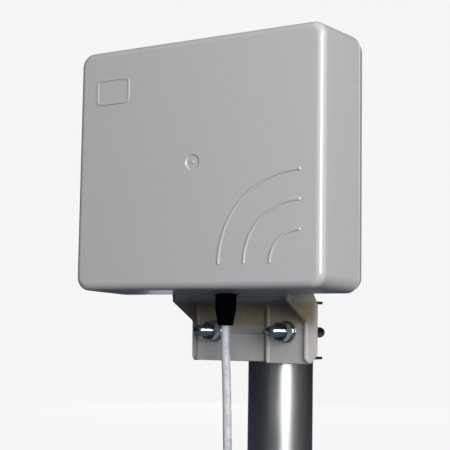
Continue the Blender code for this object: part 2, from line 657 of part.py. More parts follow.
def build_bracket_fixings():
    """The bracket's screws and the threaded inserts they turn into."""
    screw = [(0, 7.3), (2.6, 7.3), (4.6, 6.2), (4.6, 4.3), (2.4, 4.3), (2.4, -9.8), (0, -11.0)]
    insert = tube(2.65, 3.6, -0.5, -8.6)
    for number, (x, z) in enumerate(BRACKET_SCREW_AT, 1):
        place(f"bracket_screw_{number}", turned_y(screw, x, z, 12), zinc, (x, 4.0, z), azimuth)
        place(f"bracket_insert_{number}", turned_y(insert, x, z, 14), brass, (x, 0, z), azimuth)


# ---------------------------------------------------------------- pole clamp

JAW_WEB_Y, JAW_T = BOSS_BACK_Y + GAP, 2.0
JAW_TOP, JAW_BOTTOM, JAW_HALF_W, JAW_REACH_Y = -92.3, -135.4, 40.5, 55.0
JAW_TEETH, TOOTH_DEEP, APEX_DEEP = 9, 1.1, 0.9
VEE_ANGLE = math.radians(30)  # between each flank of the vee and the X axis
LEG_TIP_Y, LEG_START_Y = -8.1, 30.0
TIP_CHAMFER_R, TIP_CHAMFER_Y = 0.8, 0.9
POLE_WALL, POLE_TOP, POLE_END = 2.0, -60.0, -265.0

# stacked forward from the bracket's pads
FLAT_WASHER_BACK = PAD_Y - GAP
FLAT_WASHER_FRONT = FLAT_WASHER_BACK - 1.6
SPRING_BACK = FLAT_WASHER_FRONT - GAP
SPRING_FRONT = SPRING_BACK - 2.0
NUT_BACK = SPRING_FRONT - GAP
NUT_FRONT = NUT_BACK - 6.5
NUT_FLATS, NUT_TURN = 13.0, 0.35      # turn in radians
WASHER_BORE_R = ROD_R + 0.3


def jaw_outline():
    """One flange of the jaw, seen from above: a toothed vee that grips the pole."""
    apex = POLE_Y - (POLE_R + GAP) / math.cos(VEE_ANGLE)
    slope = math.tan(VEE_ANGLE)
    reach = (JAW_REACH_Y - apex) / slope
    vee = []
    for k in range(JAW_TEETH):
        x = reach * (JAW_TEETH - k) / JAW_TEETH
        vee.append((x, apex + x * slope))
        x = reach * (JAW_TEETH - k - 0.5) / JAW_TEETH
        vee.append((x, apex + x * slope - TOOTH_DEEP))
    web = [(-JAW_HALF_W, JAW_WEB_Y), (JAW_HALF_W, JAW_WEB_Y), (JAW_HALF_W, JAW_REACH_Y)]
    mirrored = [(-x, y) for x, y in reversed(vee)]
    return web + vee + [(0.0, apex - APEX_DEEP)] + mirrored + [(-JAW_HALF_W, JAW_REACH_Y)]


def build_saddle_jaw():
    web = box((-JAW_HALF_W, JAW_HALF_W), (JAW_WEB_Y, JAW_WEB_Y + JAW_T), (JAW_BOTTOM, JAW_TOP))
    jaw = place("saddle_jaw", web, zinc, (0, JAW_WEB_Y, CLAMP_Z), azimuth)
    join(jaw, prism(jaw_outline(), "XY", JAW_TOP - JAW_T, JAW_TOP), "upper_flange")
    join(jaw, prism(jaw_outline(), "XY", JAW_BOTTOM, JAW_BOTTOM + JAW_T), "lower_flange")
    for number, side in enumerate((-1, 1), 1):
        hole = turned_y(rod(ROD_R + 0.5, 25.0, 45.0), side * LEG_X, CLAMP_Z, 20)
        cut(jaw, hole, f"hole_{number}")


def build_u_bolt():
    # one leg from its chamfered tip, (y, radius)
    leg = [(LEG_TIP_Y, ROD_R - TIP_CHAMFER_R), (LEG_TIP_Y + TIP_CHAMFER_Y, ROD_R),
           (LEG_START_Y, ROD_R)]
    stations = [((-LEG_X, y, CLAMP_Z), radius) for y, radius in leg]
    stations += [((x, y, CLAMP_Z), ROD_R) for x, y in arc((0, BEND_Y), LEG_X, 180, -180, 16)]
    stations += [((LEG_X, y, CLAMP_Z), radius) for y, radius in reversed(leg)]
    place("u_bolt", sweep(stations, 12), zinc, (0, BEND_Y, CLAMP_Z), clamp)


def build_nut(x, word):
    origin = (x, NUT_FRONT, CLAMP_Z)
    spin = pivot(f"nut_turn_{word}", origin, azimuth)
    outline = hexagon(NUT_FLATS, (x, CLAMP_Z), NUT_TURN)
    nut = place(f"nut_{word}", prism(outline, "XZ", NUT_FRONT, NUT_BACK), zinc, origin, spin)
    cut(nut, turned_y(rod(ROD_R + 0.25, 0.0, 20.0), x, CLAMP_Z, 20), "thread")


def build_washers(x, word):
    """A split spring washer, and the flat washer behind it."""
    section = tube(WASHER_BORE_R, 6.9, SPRING_FRONT, SPRING_BACK)
    steps, loops = 20, []
    for k in range(steps + 1):
        angle = math.radians(100 + 350 * k / steps)
        loops.append([(x + radius * math.cos(angle), y, CLAMP_Z + radius * math.sin(angle))
                      for radius, y in section])
    place(f"spring_washer_{word}", skin(loops), zinc, (x, SPRING_FRONT, CLAMP_Z), azimuth)
    flat = tube(WASHER_BORE_R, 8.0, FLAT_WASHER_FRONT, FLAT_WASHER_BACK)
    place(f"flat_washer_{word}", turned_y(flat, x, CLAMP_Z, 24), zinc,
          (x, FLAT_WASHER_FRONT, CLAMP_Z), azimuth)


def build_mast():
    wall = tube(POLE_R - POLE_WALL, POLE_R, POLE_END, POLE_TOP)
    place("mast_stub", turned_z(wall, 0, POLE_Y, 40), galvanised, (0, POLE_Y, CLAMP_Z))


build_front_radome()
build_rear_cover()
build_seam_gasket()
build_cover_screws()

build_reflector()
build_board_and_patches()
build_patch_posts()
build_feed_pin()
build_reflector_screws()

build_boot()
build_feed_tail()
build_cable()
build_connector()

build_bracket()
build_bracket_fixings()

build_saddle_jaw()
build_u_bolt()
for leg_x, leg_word in ((-LEG_X, "left"), (LEG_X, "right")):
    build_nut(leg_x, leg_word)
    build_washers(leg_x, leg_word)
build_mast()
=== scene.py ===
"""Flat panel antenna on a pole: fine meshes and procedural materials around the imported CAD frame.

The radome faces -Y. The rear cover faces +Y and carries a bracket, clamped to an upright pole.
+X is on the right seen from the front, and the lead hangs down (-Z) from the panel's underside.
Meshes are described in millimetres, and made in metres.
"""
import json
from math import asin, cos, pi, radians, sin, sqrt, tan

import bmesh
import bpy
from mathutils import Matrix, Vector


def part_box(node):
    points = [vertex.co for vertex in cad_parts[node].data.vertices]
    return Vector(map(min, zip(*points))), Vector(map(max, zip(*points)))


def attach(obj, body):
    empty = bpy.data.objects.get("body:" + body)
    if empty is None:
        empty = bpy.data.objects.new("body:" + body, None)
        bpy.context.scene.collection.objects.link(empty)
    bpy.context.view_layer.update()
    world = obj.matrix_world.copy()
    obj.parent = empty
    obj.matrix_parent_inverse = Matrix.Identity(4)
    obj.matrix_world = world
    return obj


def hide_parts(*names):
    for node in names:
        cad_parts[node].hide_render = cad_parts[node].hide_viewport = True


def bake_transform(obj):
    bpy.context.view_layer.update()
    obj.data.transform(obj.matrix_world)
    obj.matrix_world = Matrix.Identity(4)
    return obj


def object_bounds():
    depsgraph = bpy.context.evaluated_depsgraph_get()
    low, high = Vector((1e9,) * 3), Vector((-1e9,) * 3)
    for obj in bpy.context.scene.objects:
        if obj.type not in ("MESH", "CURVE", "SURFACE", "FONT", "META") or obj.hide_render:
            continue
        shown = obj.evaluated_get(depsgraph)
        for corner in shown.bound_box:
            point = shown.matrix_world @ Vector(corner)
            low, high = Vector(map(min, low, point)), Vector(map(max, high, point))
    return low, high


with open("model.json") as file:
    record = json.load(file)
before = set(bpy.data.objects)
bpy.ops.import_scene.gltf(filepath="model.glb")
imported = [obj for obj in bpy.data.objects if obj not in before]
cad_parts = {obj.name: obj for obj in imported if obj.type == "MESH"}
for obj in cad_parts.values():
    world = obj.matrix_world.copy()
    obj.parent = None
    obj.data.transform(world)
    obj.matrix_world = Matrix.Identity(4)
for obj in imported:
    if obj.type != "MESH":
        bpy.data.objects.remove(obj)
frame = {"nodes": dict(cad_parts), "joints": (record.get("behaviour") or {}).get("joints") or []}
CAD_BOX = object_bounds()
MM = 0.001
scene = bpy.context.scene


# ---------------------------------------------------------------- places read from the frame (mm)

def box_mm(node):
    low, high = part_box(node)
    return Vector(low) / MM, Vector(high) / MM


def joint_mm(name):
    joint = next(j for j in frame["joints"] if j["name"] == name)
    return [value / MM for value in joint["pos_m"]]


def screw_places(kind, count):
    """The (x, z) of each numbered screw of this kind."""
    boxes = [box_mm(f"{kind}_screw_{k}") for k in range(1, count + 1)]
    return [((low.x + high.x) / 2, (low.z + high.z) / 2) for low, high in boxes]


radome_low, radome_high = box_mm("front_radome")
cover_high = box_mm("rear_cover")[1]
RELIEF = 0.7                     # how far the CAD radome's box reaches past its flat front face
HALF_W, HALF_H = cover_high.x, cover_high.z
BACK_Y = cover_high.y
FRONT_Y = radome_low.y + RELIEF
SEAM_Y = radome_high.y
POLE_Y, CLAMP_Z = joint_mm("azimuth_swivel")[1:]
LEG_X = joint_mm("nut_turn_right")[0]
LEAD_Y, SWING_Z = joint_mm("lead_swing")[1:]
PLUG_X = joint_mm("plug_nut_spin")[0]
COVER_SCREWS = screw_places("cover", 6)
REFLECTOR_SCREWS = screw_places("reflector", 4)
BRACKET_SCREWS = screw_places("bracket", 4)

# ---------------------------------------------------------------- shared sizes (mm)

WALL = 3.0
INNER_FRONT = FRONT_Y + WALL
CORNER_R, FRONT_R, DRAFT = 9.7, 5.4, 1.5
REAR_DEEP, REAR_IN = 21.5, 6.8   # the rear cover's long elliptical rounding: along Y, and inwards
ROD_R = 4.0                      # U-bolt rod
LEAD_R = 3.1
ALONG_Y, ALONG_Z, FORWARD = (0, 1, 0), (0, 0, 1), (0, -1, 0)
JOIN, CUT = "UNION", "DIFFERENCE"


# ---------------------------------------------------------------- outlines and angles

def clamp(value):
    return min(1.0, max(0.0, value))


def quarter(steps):
    """Angles from 0 to 90 degrees, both included."""
    return [pi / 2 * k / steps for k in range(steps + 1)]


def circle(count):
    return [2 * pi * k / count for k in range(count)]


def level_ring(x, y, z, radii):
    """A ring at height z, with one radius for each of its points."""
    return [(x + radius * cos(angle), y + radius * sin(angle), z)
            for radius, angle in zip(radii, circle(len(radii)))]


def rounded(half_w, half_h, radius, steps=14):
    """A rectangle with round corners."""
    points = []
    for side_x, side_y, start in ((1, 1, 0), (-1, 1, 90), (-1, -1, 180), (1, -1, 270)):
        for k in range(steps + 1):
            angle = radians(start + 90 * k / steps)
            points.append((side_x * (half_w - radius) + radius * cos(angle),
                           side_y * (half_h - radius) + radius * sin(angle)))
    return points


def eased(points, radius, limit, steps):
    """A closed outline with its corners rounded, using at most this share of each side."""
    out = []
    for i, point in enumerate(points):
        corner = Vector(point)
        back = Vector(points[i - 1]) - corner
        ahead = Vector(points[(i + 1) % len(points)]) - corner
        cut = min(radius, back.length * limit, ahead.length * limit)
        start = corner + back.normalized() * cut
        end = corner + ahead.normalized() * cut
        for k in range(steps + 1):
            t = k / steps
            eased_point = start * (1 - t) ** 2 + corner * 2 * t * (1 - t) + end * t * t
            out.append(tuple(eased_point))
    return out


# ---------------------------------------------------------------- solids

def tidy(bm):
    bmesh.ops.remove_doubles(bm, verts=bm.verts, dist=1e-8)
    bmesh.ops.recalc_face_normals(bm, faces=bm.faces)
    if bm.calc_volume(signed=True) < 0:
        bmesh.ops.reverse_faces(bm, faces=bm.faces)
    return bm


def bridge(bm, one, two):
    """Faces between two rings, either of which may be a single vertex."""
    count = max(len(one), len(two))
    for i in range(count):
        j = (i + 1) % count
        if len(one) == 1:
            bm.faces.new((one[0], two[j], two[i]))
        elif len(two) == 1:
            bm.faces.new((one[i], one[j], two[0]))
        else:
            bm.faces.new((one[i], one[j], two[j], two[i]))


def grid_solid(rings, wrap=False):
    """Equal rings bridged in a chain, capped at both ends or closed on itself."""
    bm = bmesh.new()
    made = [[bm.verts.new(Vector(point) * MM) for point in ring] for ring in rings]
    for one, two in zip(made, made[1:] + (made[:1] if wrap else [])):
        bridge(bm, one, two)
    if not wrap:
        bm.faces.new(made[0])
        bm.faces.new(made[-1])
    return tidy(bm)


def turned(profile, centre, axis, steps=64):
    """Revolves (radius, distance along axis) points, closed where no end lies on the axis."""
    axis = Vector(axis)
    side = axis.orthogonal().normalized()
    other = axis.cross(side)
    bm = bmesh.new()
    rings = []
    for radius, along in profile:
        middle = Vector(centre) + axis * along
        if radius <= 1e-9:
            rings.append([bm.verts.new(middle * MM)])
        else:
            rings.append([bm.verts.new((middle + (side * cos(a) + other * sin(a)) * radius) * MM)
                          for a in circle(steps)])
    for one, two in zip(rings, rings[1:]):
        bridge(bm, one, two)
    if len(rings[0]) > 1 and len(rings[-1]) > 1:
        bridge(bm, rings[-1], rings[0])
    return tidy(bm)


def rod_profile(radius, start, end):
    return [(0, start), (radius, start), (radius, end), (0, end)]


def rod_y(x, z, radius, start, end, steps=48):
    return turned(rod_profile(radius, start, end), (x, 0, z), ALONG_Y, steps)


def prism(outline, plane, start, end):
    """An outline in plane XY or YZ, drawn out along the third axis."""
    if plane == "XY":
        rings = [[(x, y, z) for x, y in outline] for z in (start, end)]
    else:
        rings = [[(x, y, z) for y, z in outline] for x in (start, end)]
    return grid_solid(rings)


def cuboid(x, y, z):
    """A block from its (low, high) on each axis."""
    return prism([(x[0], y[0]), (x[1], y[0]), (x[1], y[1]), (x[0], y[1])], "XY", *z)


# ---------------------------------------------------------------- objects

def to_object(name, bm):
    mesh = bpy.data.meshes.new(name)
    bm.to_mesh(mesh)
    bm.free()
    obj = bpy.data.objects.new(name, mesh)
    scene.collection.objects.link(obj)
    return obj


def apply_modifiers(obj):
    graph = bpy.context.evaluated_depsgraph_get()
    graph.update()
    mesh = bpy.data.meshes.new_from_object(
        obj.evaluated_get(graph), preserve_all_data_layers=False, depsgraph=graph)
    obj.modifiers.clear()
    old = obj.data
    obj.data = mesh
    mesh.name = obj.name
    bpy.data.meshes.remove(old)


def combine(obj, shapes):
    """Joins or cuts each (operation, bmesh) pair in turn."""
    helpers = []
    for operation, bm in shapes:
        helper = to_object("helper", bm)
        helpers.append(helper)
        modifier = obj.modifiers.new("b", "BOOLEAN")
        modifier.operation = operation
        modifier.object = helper
        modifier.solver = "MANIFOLD"
    apply_modifiers(obj)
    for helper in helpers:
        mesh = helper.data
        bpy.data.objects.remove(helper, do_unlink=True)
        bpy.data.meshes.remove(mesh)


def smooth(obj, angle):
    """Smooth shading, with edges sharper than the angle (degrees) left hard."""
    obj.data.shade_smooth()
    obj.data.set_sharp_from_angle(angle=radians(angle))
    return obj


def smooth_shell(obj):
    """Smooth shading that keeps the shell's large faces flat."""
    smooth(obj, 38)
    modifier = obj.modifiers.new("normals", "WEIGHTED_NORMAL")
    modifier.weight = 80
    modifier.keep_sharp = True
    return obj


def finish_piece(obj, material, body, slot, *nodes):
    obj.data.materials.clear()
    obj.data.materials.append(material)
    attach(obj, body)
    if nodes:
        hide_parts(*nodes)


# ---------------------------------------------------------------- shader graphs

class Graph:
    """The shader nodes of a material or world. Values may be plain or output sockets."""

    def __init__(self, owner):
        owner.use_nodes = True
        self.tree = owner.node_tree
        self.tree.nodes.clear()

    def feed(self, socket, value):
        if isinstance(value, bpy.types.NodeSocket):
            self.tree.links.new(value, socket)
        else:
            socket.default_value = value

    def add(self, kind, inputs=None, **settings):
        node = self.tree.nodes.new("ShaderNode" + kind)
        for key, value in settings.items():
            setattr(node, key, value)
        for key, value in (inputs or {}).items():
            self.feed(node.inputs[key], value)
        return node

    def span(self, value, low, high, to_low=0.0, to_high=1.0):
        """Maps low..high to to_low..to_high, and holds at both ends."""
        inputs = {"Value": value, "From Min": low, "From Max": high,
                  "To Min": to_low, "To Max": to_high}
        return self.add("MapRange", inputs, clamp=True).outputs[0]

    def maths(self, operation, *values, clamped=False):
        inputs = dict(enumerate(values))
        return self.add("Math", inputs, operation=operation, use_clamp=clamped).outputs[0]

    def product(self, value, *others):
        for other in others:
            value = self.maths("MULTIPLY", value, other)
        return value


class Look(Graph):
    """A Principled material with procedural colour, roughness and bump, in object metres."""

    def __init__(self, name, colour, roughness, metallic=0.0, specular=0.5):
        self.material = bpy.data.materials.new(name)
        super().__init__(self.material)
        self.colour = (*colour, 1)
        self.roughness = roughness
        self.normal = None
        self.bsdf = self.add("BsdfPrincipled", {
            "Base Color": self.colour, "Roughness": roughness,
            "Metallic": metallic, "Specular IOR Level": specular})
        self.out = self.add("OutputMaterial", {0: self.bsdf.outputs[0]})
        self.coords = self.add("TexCoord").outputs["Object"]
        self.material.diffuse_color = self.colour

    def stretched(self, scale):
        return self.add("Mapping", {"Scale": scale, "Vector": self.coords}).outputs[0]

    def noise(self, scale, detail=3.0, roughness=0.5, stretch=(1, 1, 1), distortion=0.0):
        return self.add("TexNoise", {
            "Scale": scale, "Detail": detail, "Roughness": roughness,
            "Distortion": distortion, "Vector": self.stretched(stretch)}).outputs["Fac"]

    def cells(self, scale):
        inputs = {"Scale": scale, "Vector": self.stretched((1, 1, 1))}
        return self.add("TexVoronoi", inputs, feature="F1").outputs["Distance"]

    def axis(self, letter):
        return self.add("SeparateXYZ", {0: self.coords}).outputs[letter]

    def band(self, letter, start, end, to_high=1.0):
        """Rises from 0 at start (mm) to to_high at end (mm) along an axis."""
        return self.span(self.axis(letter), start * MM, end * MM, to_high=to_high)

    def tint(self, factor, colour):
        """Mixes the colour so far with this one."""
        node = self.add("Mix", {"A": self.colour, "B": (*colour, 1), "Factor": factor},
                        data_type="RGBA")
        self.colour = node.outputs["Result"]
        self.feed(self.bsdf.inputs["Base Color"], self.colour)

    def mottle(self, colour, amount, between, **grain):
        """Tints by up to amount as the noise rises between two levels."""
        self.tint(self.span(self.noise(**grain), *between, 0, amount), colour)

    def roughen(self, amount, **grain):
        """Adds (noise - 0.5) * amount to the roughness so far."""
        extra = self.product(self.maths("SUBTRACT", self.noise(**grain), 0.5), amount)
        self.roughness = self.maths("ADD", extra, self.roughness, clamped=True)
        self.feed(self.bsdf.inputs["Roughness"], self.roughness)

    def bump(self, height, depth_mm, strength):
        inputs = {"Distance": depth_mm * MM, "Strength": strength, "Height": height}
        if self.normal is not None:
            inputs["Normal"] = self.normal
        self.normal = self.add("Bump", inputs).outputs[0]
        self.feed(self.bsdf.inputs["Normal"], self.normal)

    def emboss(self, depth_mm, strength, **grain):
        """Bump from noise."""
        self.bump(self.noise(**grain), depth_mm, strength)

    def edges(self, width_mm, colour, amount):
        """Wear at edges, where the bevelled normal leaves the true one."""
        bevel = self.add("Bevel", {"Radius": width_mm * MM}, samples=4)
        geometry = self.add("NewGeometry")
        dot = self.add("VectorMath", {0: bevel.outputs[0], 1: geometry.outputs["Normal"]},
                       operation="DOT_PRODUCT")
        turning = self.span(dot.outputs["Value"], low=1.0, high=0.8)
        patchy = self.span(self.noise(scale=900, detail=4), low=0.4, high=0.65)
        self.tint(self.product(turning, patchy, amount), colour)


# ---------------------------------------------------------------- materials

def shade(colour, factor):
    return tuple(channel * factor for channel in colour)


def plastic(name, colour, roughness, grain=1.0):
    look = Look(name, colour, roughness, specular=0.7)
    red, green, blue = colour
    # slow weathering, faint rain streaks, pigment
    look.mottle(shade(colour, 0.965), 0.5, (0.25, 0.75), scale=6, detail=1.5, roughness=0.35)
    look.mottle((red * 0.93, green * 0.92, blue * 0.89), 0.2, (0.5, 0.85),
                scale=48, detail=2, roughness=0.4, stretch=(1, 1, 0.08))
    look.mottle(shade(colour, 1.10), 0.12, (0.35, 0.7), scale=2600, detail=2)
    # a few dust specks, in patches
    specks = look.span(look.cells(scale=260), low=0.03, high=0.07, to_low=0.3, to_high=0)
    patches = look.span(look.noise(scale=24, detail=1), low=0.6, high=0.66)
    look.tint(look.product(specks, patches), shade(colour, 0.6))
    look.roughen(0.06, scale=9, detail=2, roughness=0.4)
    look.roughen(0.05, scale=700, detail=3)
    # slow sink and flow, then spark-eroded grain
    look.emboss(0.25, 0.35, scale=9, detail=2, roughness=0.4)
    look.emboss(0.010 * grain, 0.6, scale=1700, detail=3, roughness=0.6)
    return look


def bracket_plastic():
    """Grey plastic with painted shade, a brown painted reflection and painted light placed by
    position (mm).
    """
    look = plastic("bracket_grey_plastic", (0.40, 0.395, 0.385), 0.42, grain=1.6)
    band, product = look.band, look.product
    # painted shade under the panel, tinted brown as a painted reflection, broken up by noise
    shaded_under_panel = product(band("Z", -116.5, -109.5), band("Z", -91.5, -96.2))
    facing = band("Y", 27.5, 20.5)
    shade_patchiness = look.span(look.noise(scale=60, detail=3, roughness=0.5),
                      low=0.25, high=0.6, to_low=0.75, to_high=1.0)
    look.tint(product(shaded_under_panel, facing, shade_patchiness), (0.245, 0.200, 0.128))
    # painted shade, darkest at the top, close under the panel
    high = product(band("Z", -110.5, -96.5, to_high=0.75), facing, band("X", 47.0, 46.2))
    look.tint(high, (0.115, 0.10, 0.078))
    # painted shade on the left wall's inner side, under the panel
    left_wall_shade = product(band("X", -45.5, -46.2), band("X", -49.2, -48.6),
                        band("Z", -123.0, -112.0))
    look.tint(product(left_wall_shade, facing, 0.8), (0.085, 0.075, 0.06))
    # painted cool shade at the very top, between the walls
    cool_shade = product(band("Z", -95.5, -92.5), band("Y", 24.5, 22.5))
    inside = look.span(look.maths("ABSOLUTE", look.axis("X")), low=46.8 * MM, high=46.2 * MM)
    look.tint(product(cool_shade, inside), (0.27, 0.30, 0.345))
    # painted shadow in the channel beside the raised right pad
    pad_edge_shadow = product(band("X", 9.2, 10.4), band("X", 12.8, 12.0))
    look.tint(product(pad_edge_shadow, band("Z", -98.0, -104.0), 0.8), (0.10, 0.095, 0.085))
    # painted shade in the left wall's corner
    look.tint(product(band("X", -45.5, -46.0), band("Y", 14.0, 15.0), 0.8), (0.22, 0.21, 0.195))
    # painted light on the lower outer face of the right wall
    lit_right_wall = product(band("X", 46.2, 48.0), band("Z", -106.0, -118.0), 0.85)
    look.tint(lit_right_wall, (0.53, 0.52, 0.50))
    # glass-fibre flow
    look.mottle((0.30, 0.28, 0.255), 0.2, (0.5, 0.75),
                scale=240, detail=5, roughness=0.7, stretch=(1, 1, 0.25), distortion=0.8)
    return look.material


def zinc(name, roughness, tone=(0.58, 0.66, 0.68)):
    look = Look(name, tone, roughness, metallic=1.0)
    # bluish passivation, yellow bloom, grime
    look.mottle((0.42, 0.52, 0.55), 0.5, (0.45, 0.7), scale=160, detail=4, roughness=0.6)
    look.mottle((0.66, 0.60, 0.42), 0.45, (0.55, 0.8), scale=90, detail=3)
    look.mottle((0.22, 0.21, 0.19), 0.5, (0.62, 0.78), scale=700, detail=5, roughness=0.7)
    look.roughen(0.22, scale=420, detail=5, roughness=0.65)
    look.roughen(0.12, scale=3000, detail=2)
    look.emboss(0.012, 0.7, scale=1300, detail=4, roughness=0.6)
    look.edges(width_mm=0.35, colour=(0.85, 0.86, 0.86), amount=0.8)
    return look.material


def pole_steel():
    look = Look("drawn_pole_steel", (0.60, 0.61, 0.60), 0.31, metallic=1.0)
    look.mottle((0.45, 0.44, 0.42), 0.55, (0.4, 0.7),
                scale=60, detail=5, roughness=0.6, stretch=(1, 1, 0.08))
    look.mottle((0.50, 0.45, 0.37), 0.4, (0.5, 0.75),
                scale=26, detail=4, roughness=0.6, stretch=(1, 1, 0.3))
    look.mottle((0.3, 0.28, 0.25), 0.28, (0.66, 0.78),
                scale=420, detail=5, roughness=0.75, stretch=(1, 1, 0.2))
    look.roughen(0.14, scale=500, detail=5, roughness=0.65, stretch=(1, 1, 0.03))
    look.roughen(0.12, scale=40, detail=4, roughness=0.6)
    look.emboss(0.010, 0.7, scale=900, detail=4, roughness=0.6, stretch=(1, 1, 0.02))
    look.emboss(0.03, 0.5, scale=60, detail=3)
    return look.material


def boot_rubber():
    look = Look("boot_rubber_black", (0.0006, 0.0006, 0.0009), 0.75, specular=0.02)
    look.mottle((0.004, 0.004, 0.004), 0.35, (0.5, 0.8), scale=180, detail=4)
    look.roughen(0.2, scale=500, detail=4)
    look.emboss(0.02, 0.8, scale=1500, detail=4, roughness=0.6)
    return look.material


def lead_jacket_plastic():
    look = Look("lead_white_jacket", (0.50, 0.505, 0.53), 0.36, specular=0.45)
    look.mottle((0.42, 0.42, 0.42), 0.35, (0.5, 0.75),
                scale=120, detail=4, roughness=0.6, stretch=(1, 1, 0.3))
    look.mottle((0.32, 0.31, 0.30), 0.3, (0.62, 0.75), scale=900, detail=3)
    look.roughen(0.2, scale=300, detail=4)
    look.emboss(0.05, 0.5, scale=160, detail=3, stretch=(1, 1, 0.5))
    look.emboss(0.012, 0.6, scale=1800, detail=3)
    # plain worn dashes down one side of the lead, following its drift towards the plug
    dash_side = radians(-26)
    dash_pitch = 17.0
    drift = look.band("Z", -117, -212, to_high=PLUG_X * MM)
    from_x = look.maths("SUBTRACT", look.axis("X"), drift)
    across_x = look.product(from_x, cos(dash_side) / (LEAD_R * MM))
    from_y = look.maths("SUBTRACT", look.axis("Y"), LEAD_Y * MM)
    across_y = look.product(from_y, sin(dash_side) / (LEAD_R * MM))
    across = look.maths("ADD", across_x, across_y)
    near = look.span(across, low=0.70, high=0.78)
    far = look.span(across, low=0.99, high=0.95)
    step = look.maths("FRACT", look.product(look.axis("Z"), 1 / MM / dash_pitch))
    dash = look.product(look.span(step, low=0.22, high=0.26), look.span(step, low=0.80, high=0.76))
    worn = look.span(look.noise(scale=420, detail=4, roughness=0.7), low=0.36, high=0.52)
    look.tint(look.product(near, far, dash, look.product(worn, 0.62)), (0.20, 0.27, 0.34))
    return look.material


def nickel():
    look = Look("nickel_plate", (0.66, 0.64, 0.60), 0.18, metallic=1.0)
    look.mottle((0.55, 0.52, 0.46), 0.5, (0.5, 0.75), scale=220, detail=4)
    look.roughen(0.2, scale=800, detail=5, roughness=0.6)
    look.emboss(0.006, 0.6, scale=2200, detail=3)
    look.edges(width_mm=0.25, colour=(0.85, 0.83, 0.8), amount=0.7)
    return look.material


def brass():
    look = Look("machined_brass", (0.74, 0.55, 0.25), 0.24, metallic=1.0)
    look.mottle((0.55, 0.38, 0.17), 0.5, (0.45, 0.75), scale=260, detail=4)
    look.roughen(0.2, scale=900, detail=4)
    look.emboss(0.008, 0.6, scale=1600, detail=3, roughness=0.6, stretch=(1, 0.05, 1))
    return look.material


def aluminium_sheet():
    look = Look("aluminium_sheet", (0.72, 0.73, 0.74), 0.34, metallic=1.0)
    look.mottle((0.58, 0.59, 0.60), 0.4, (0.45, 0.75),
                scale=60, detail=4, roughness=0.6, stretch=(0.2, 1, 1))
    look.roughen(0.25, scale=900, detail=4, roughness=0.6, stretch=(0.03, 1, 1))
    look.emboss(0.006, 0.7, scale=1400, detail=3, roughness=0.6, stretch=(0.02, 1, 1))
    return look.material


def laminate():
    look = Look("feed_board_laminate", (0.035, 0.16, 0.075), 0.36)
    look.mottle((0.05, 0.21, 0.10), 0.4, (0.4, 0.7), scale=900, detail=3)
    weave = look.span(look.cells(scale=2600), low=0.25, high=0.5, to_low=0.2, to_high=0)
    look.tint(weave, (0.02, 0.10, 0.05))
    look.roughen(0.15, scale=500, detail=4)
    look.emboss(0.008, 0.7, scale=2400, detail=3)
    return look.material


def nylon():
    look = Look("natural_nylon", (0.80, 0.78, 0.70), 0.42)
    look.mottle((0.70, 0.67, 0.57), 0.5, (0.45, 0.75), scale=400, detail=4)
    look.roughen(0.2, scale=700, detail=3)
    look.emboss(0.012, 0.6, scale=1300, detail=3)
    return look.material


def gasket_rubber():
    look = Look("gasket_rubber_black", (0.025, 0.025, 0.026), 0.8)
    look.mottle((0.05, 0.05, 0.05), 0.5, (0.45, 0.7), scale=900, detail=3)
    look.roughen(0.15, scale=600, detail=3)
    look.bump(look.cells(scale=1500), depth_mm=0.05, strength=0.7)
    return look.material


def dielectric():
    look = Look("plug_dielectric", (0.82, 0.82, 0.80), 0.35)
    look.mottle((0.72, 0.71, 0.68), 0.4, (0.45, 0.75), scale=500, detail=3)
    look.roughen(0.2, scale=700, detail=3)
    look.emboss(0.008, 0.5, scale=1500, detail=2)
    return look.material


HOUSING = plastic("housing_grey_plastic", (0.425, 0.425, 0.427), 0.29).material
REAR_PLASTIC = plastic("rear_grey_plastic", (0.415, 0.413, 0.412), 0.30).material
BRACKET_PLASTIC = bracket_plastic()
ZINC_BRIGHT = zinc("zinc_plate", 0.13)
ZINC_JAW = zinc("zinc_plate_sheet", 0.3, tone=(0.5, 0.52, 0.52))
ZINC_SCREW = zinc("zinc_plate_screw", 0.26, tone=(0.55, 0.57, 0.57))
POLE_STEEL = pole_steel()
RUBBER = boot_rubber()
JACKET = lead_jacket_plastic()
NICKEL = nickel()
BRASS = brass()
SHEET = aluminium_sheet()
LAMINATE = laminate()
NYLON = nylon()
GASKET = gasket_rubber()
DIELECTRIC = dielectric()


# ---------------------------------------------------------------- radome

ARC_CENTRE_X, ARC_CENTRE_Z = 83.0, -70.7
ARC_RADII = (60.8, 41.0, 21.3)
RIB_HALF, RIB_TALL, RIB_SINK = 1.15, 0.74, 0.8
BADGE_X, BADGE_Z, BADGE_HALF_W, BADGE_HALF_H = -69.5, 56.5, 14.5, 9.5
LEAD_HOLE_R = 6.1

# (lift off the front face, inset, corner radius)
BADGE = [(-0.8, 0.0, 3.2), (0.42, 0.0, 3.2), (0.60, 0.07, 3.1), (0.68, 0.22, 3.0),
         (0.69, 1.05, 2.6), (0.62, 1.25, 2.4), (0.22, 1.4, 2.3), (0.14, 1.6, 2.2), (0.16, 3.0, 1.8)]
# turned profiles on the front face: (radius, lift)
ARC_BEAD = [(0, 0.86), (0.5, 0.82), (0.9, 0.68), (1.2, 0.4), (1.35, 0.0), (1.35, -0.9), (0, -0.9)]
GATE_DISH = [(0, 0.8), (5.75, 0.8), (5.62, 0.02), (5.4, -0.16), (5.1, -0.62), (4.8, -0.84),
             (4.4, -0.9), (2.2, -0.66), (0, -0.62)]
GATE_STUB = [(0, -0.02), (0.45, -0.04), (0.8, -0.2), (0.95, -0.45), (0.95, -1.2), (0, -1.2)]


def outline(y, inset, radius):
    """A loop round the housing at y. The sides draw in towards the front."""
    inset += DRAFT * max(0.0, SEAM_Y - y) / (SEAM_Y - FRONT_Y)
    return [(x, y, z) for x, z in rounded(HALF_W - inset, HALF_H - inset, max(radius, 0.6))]


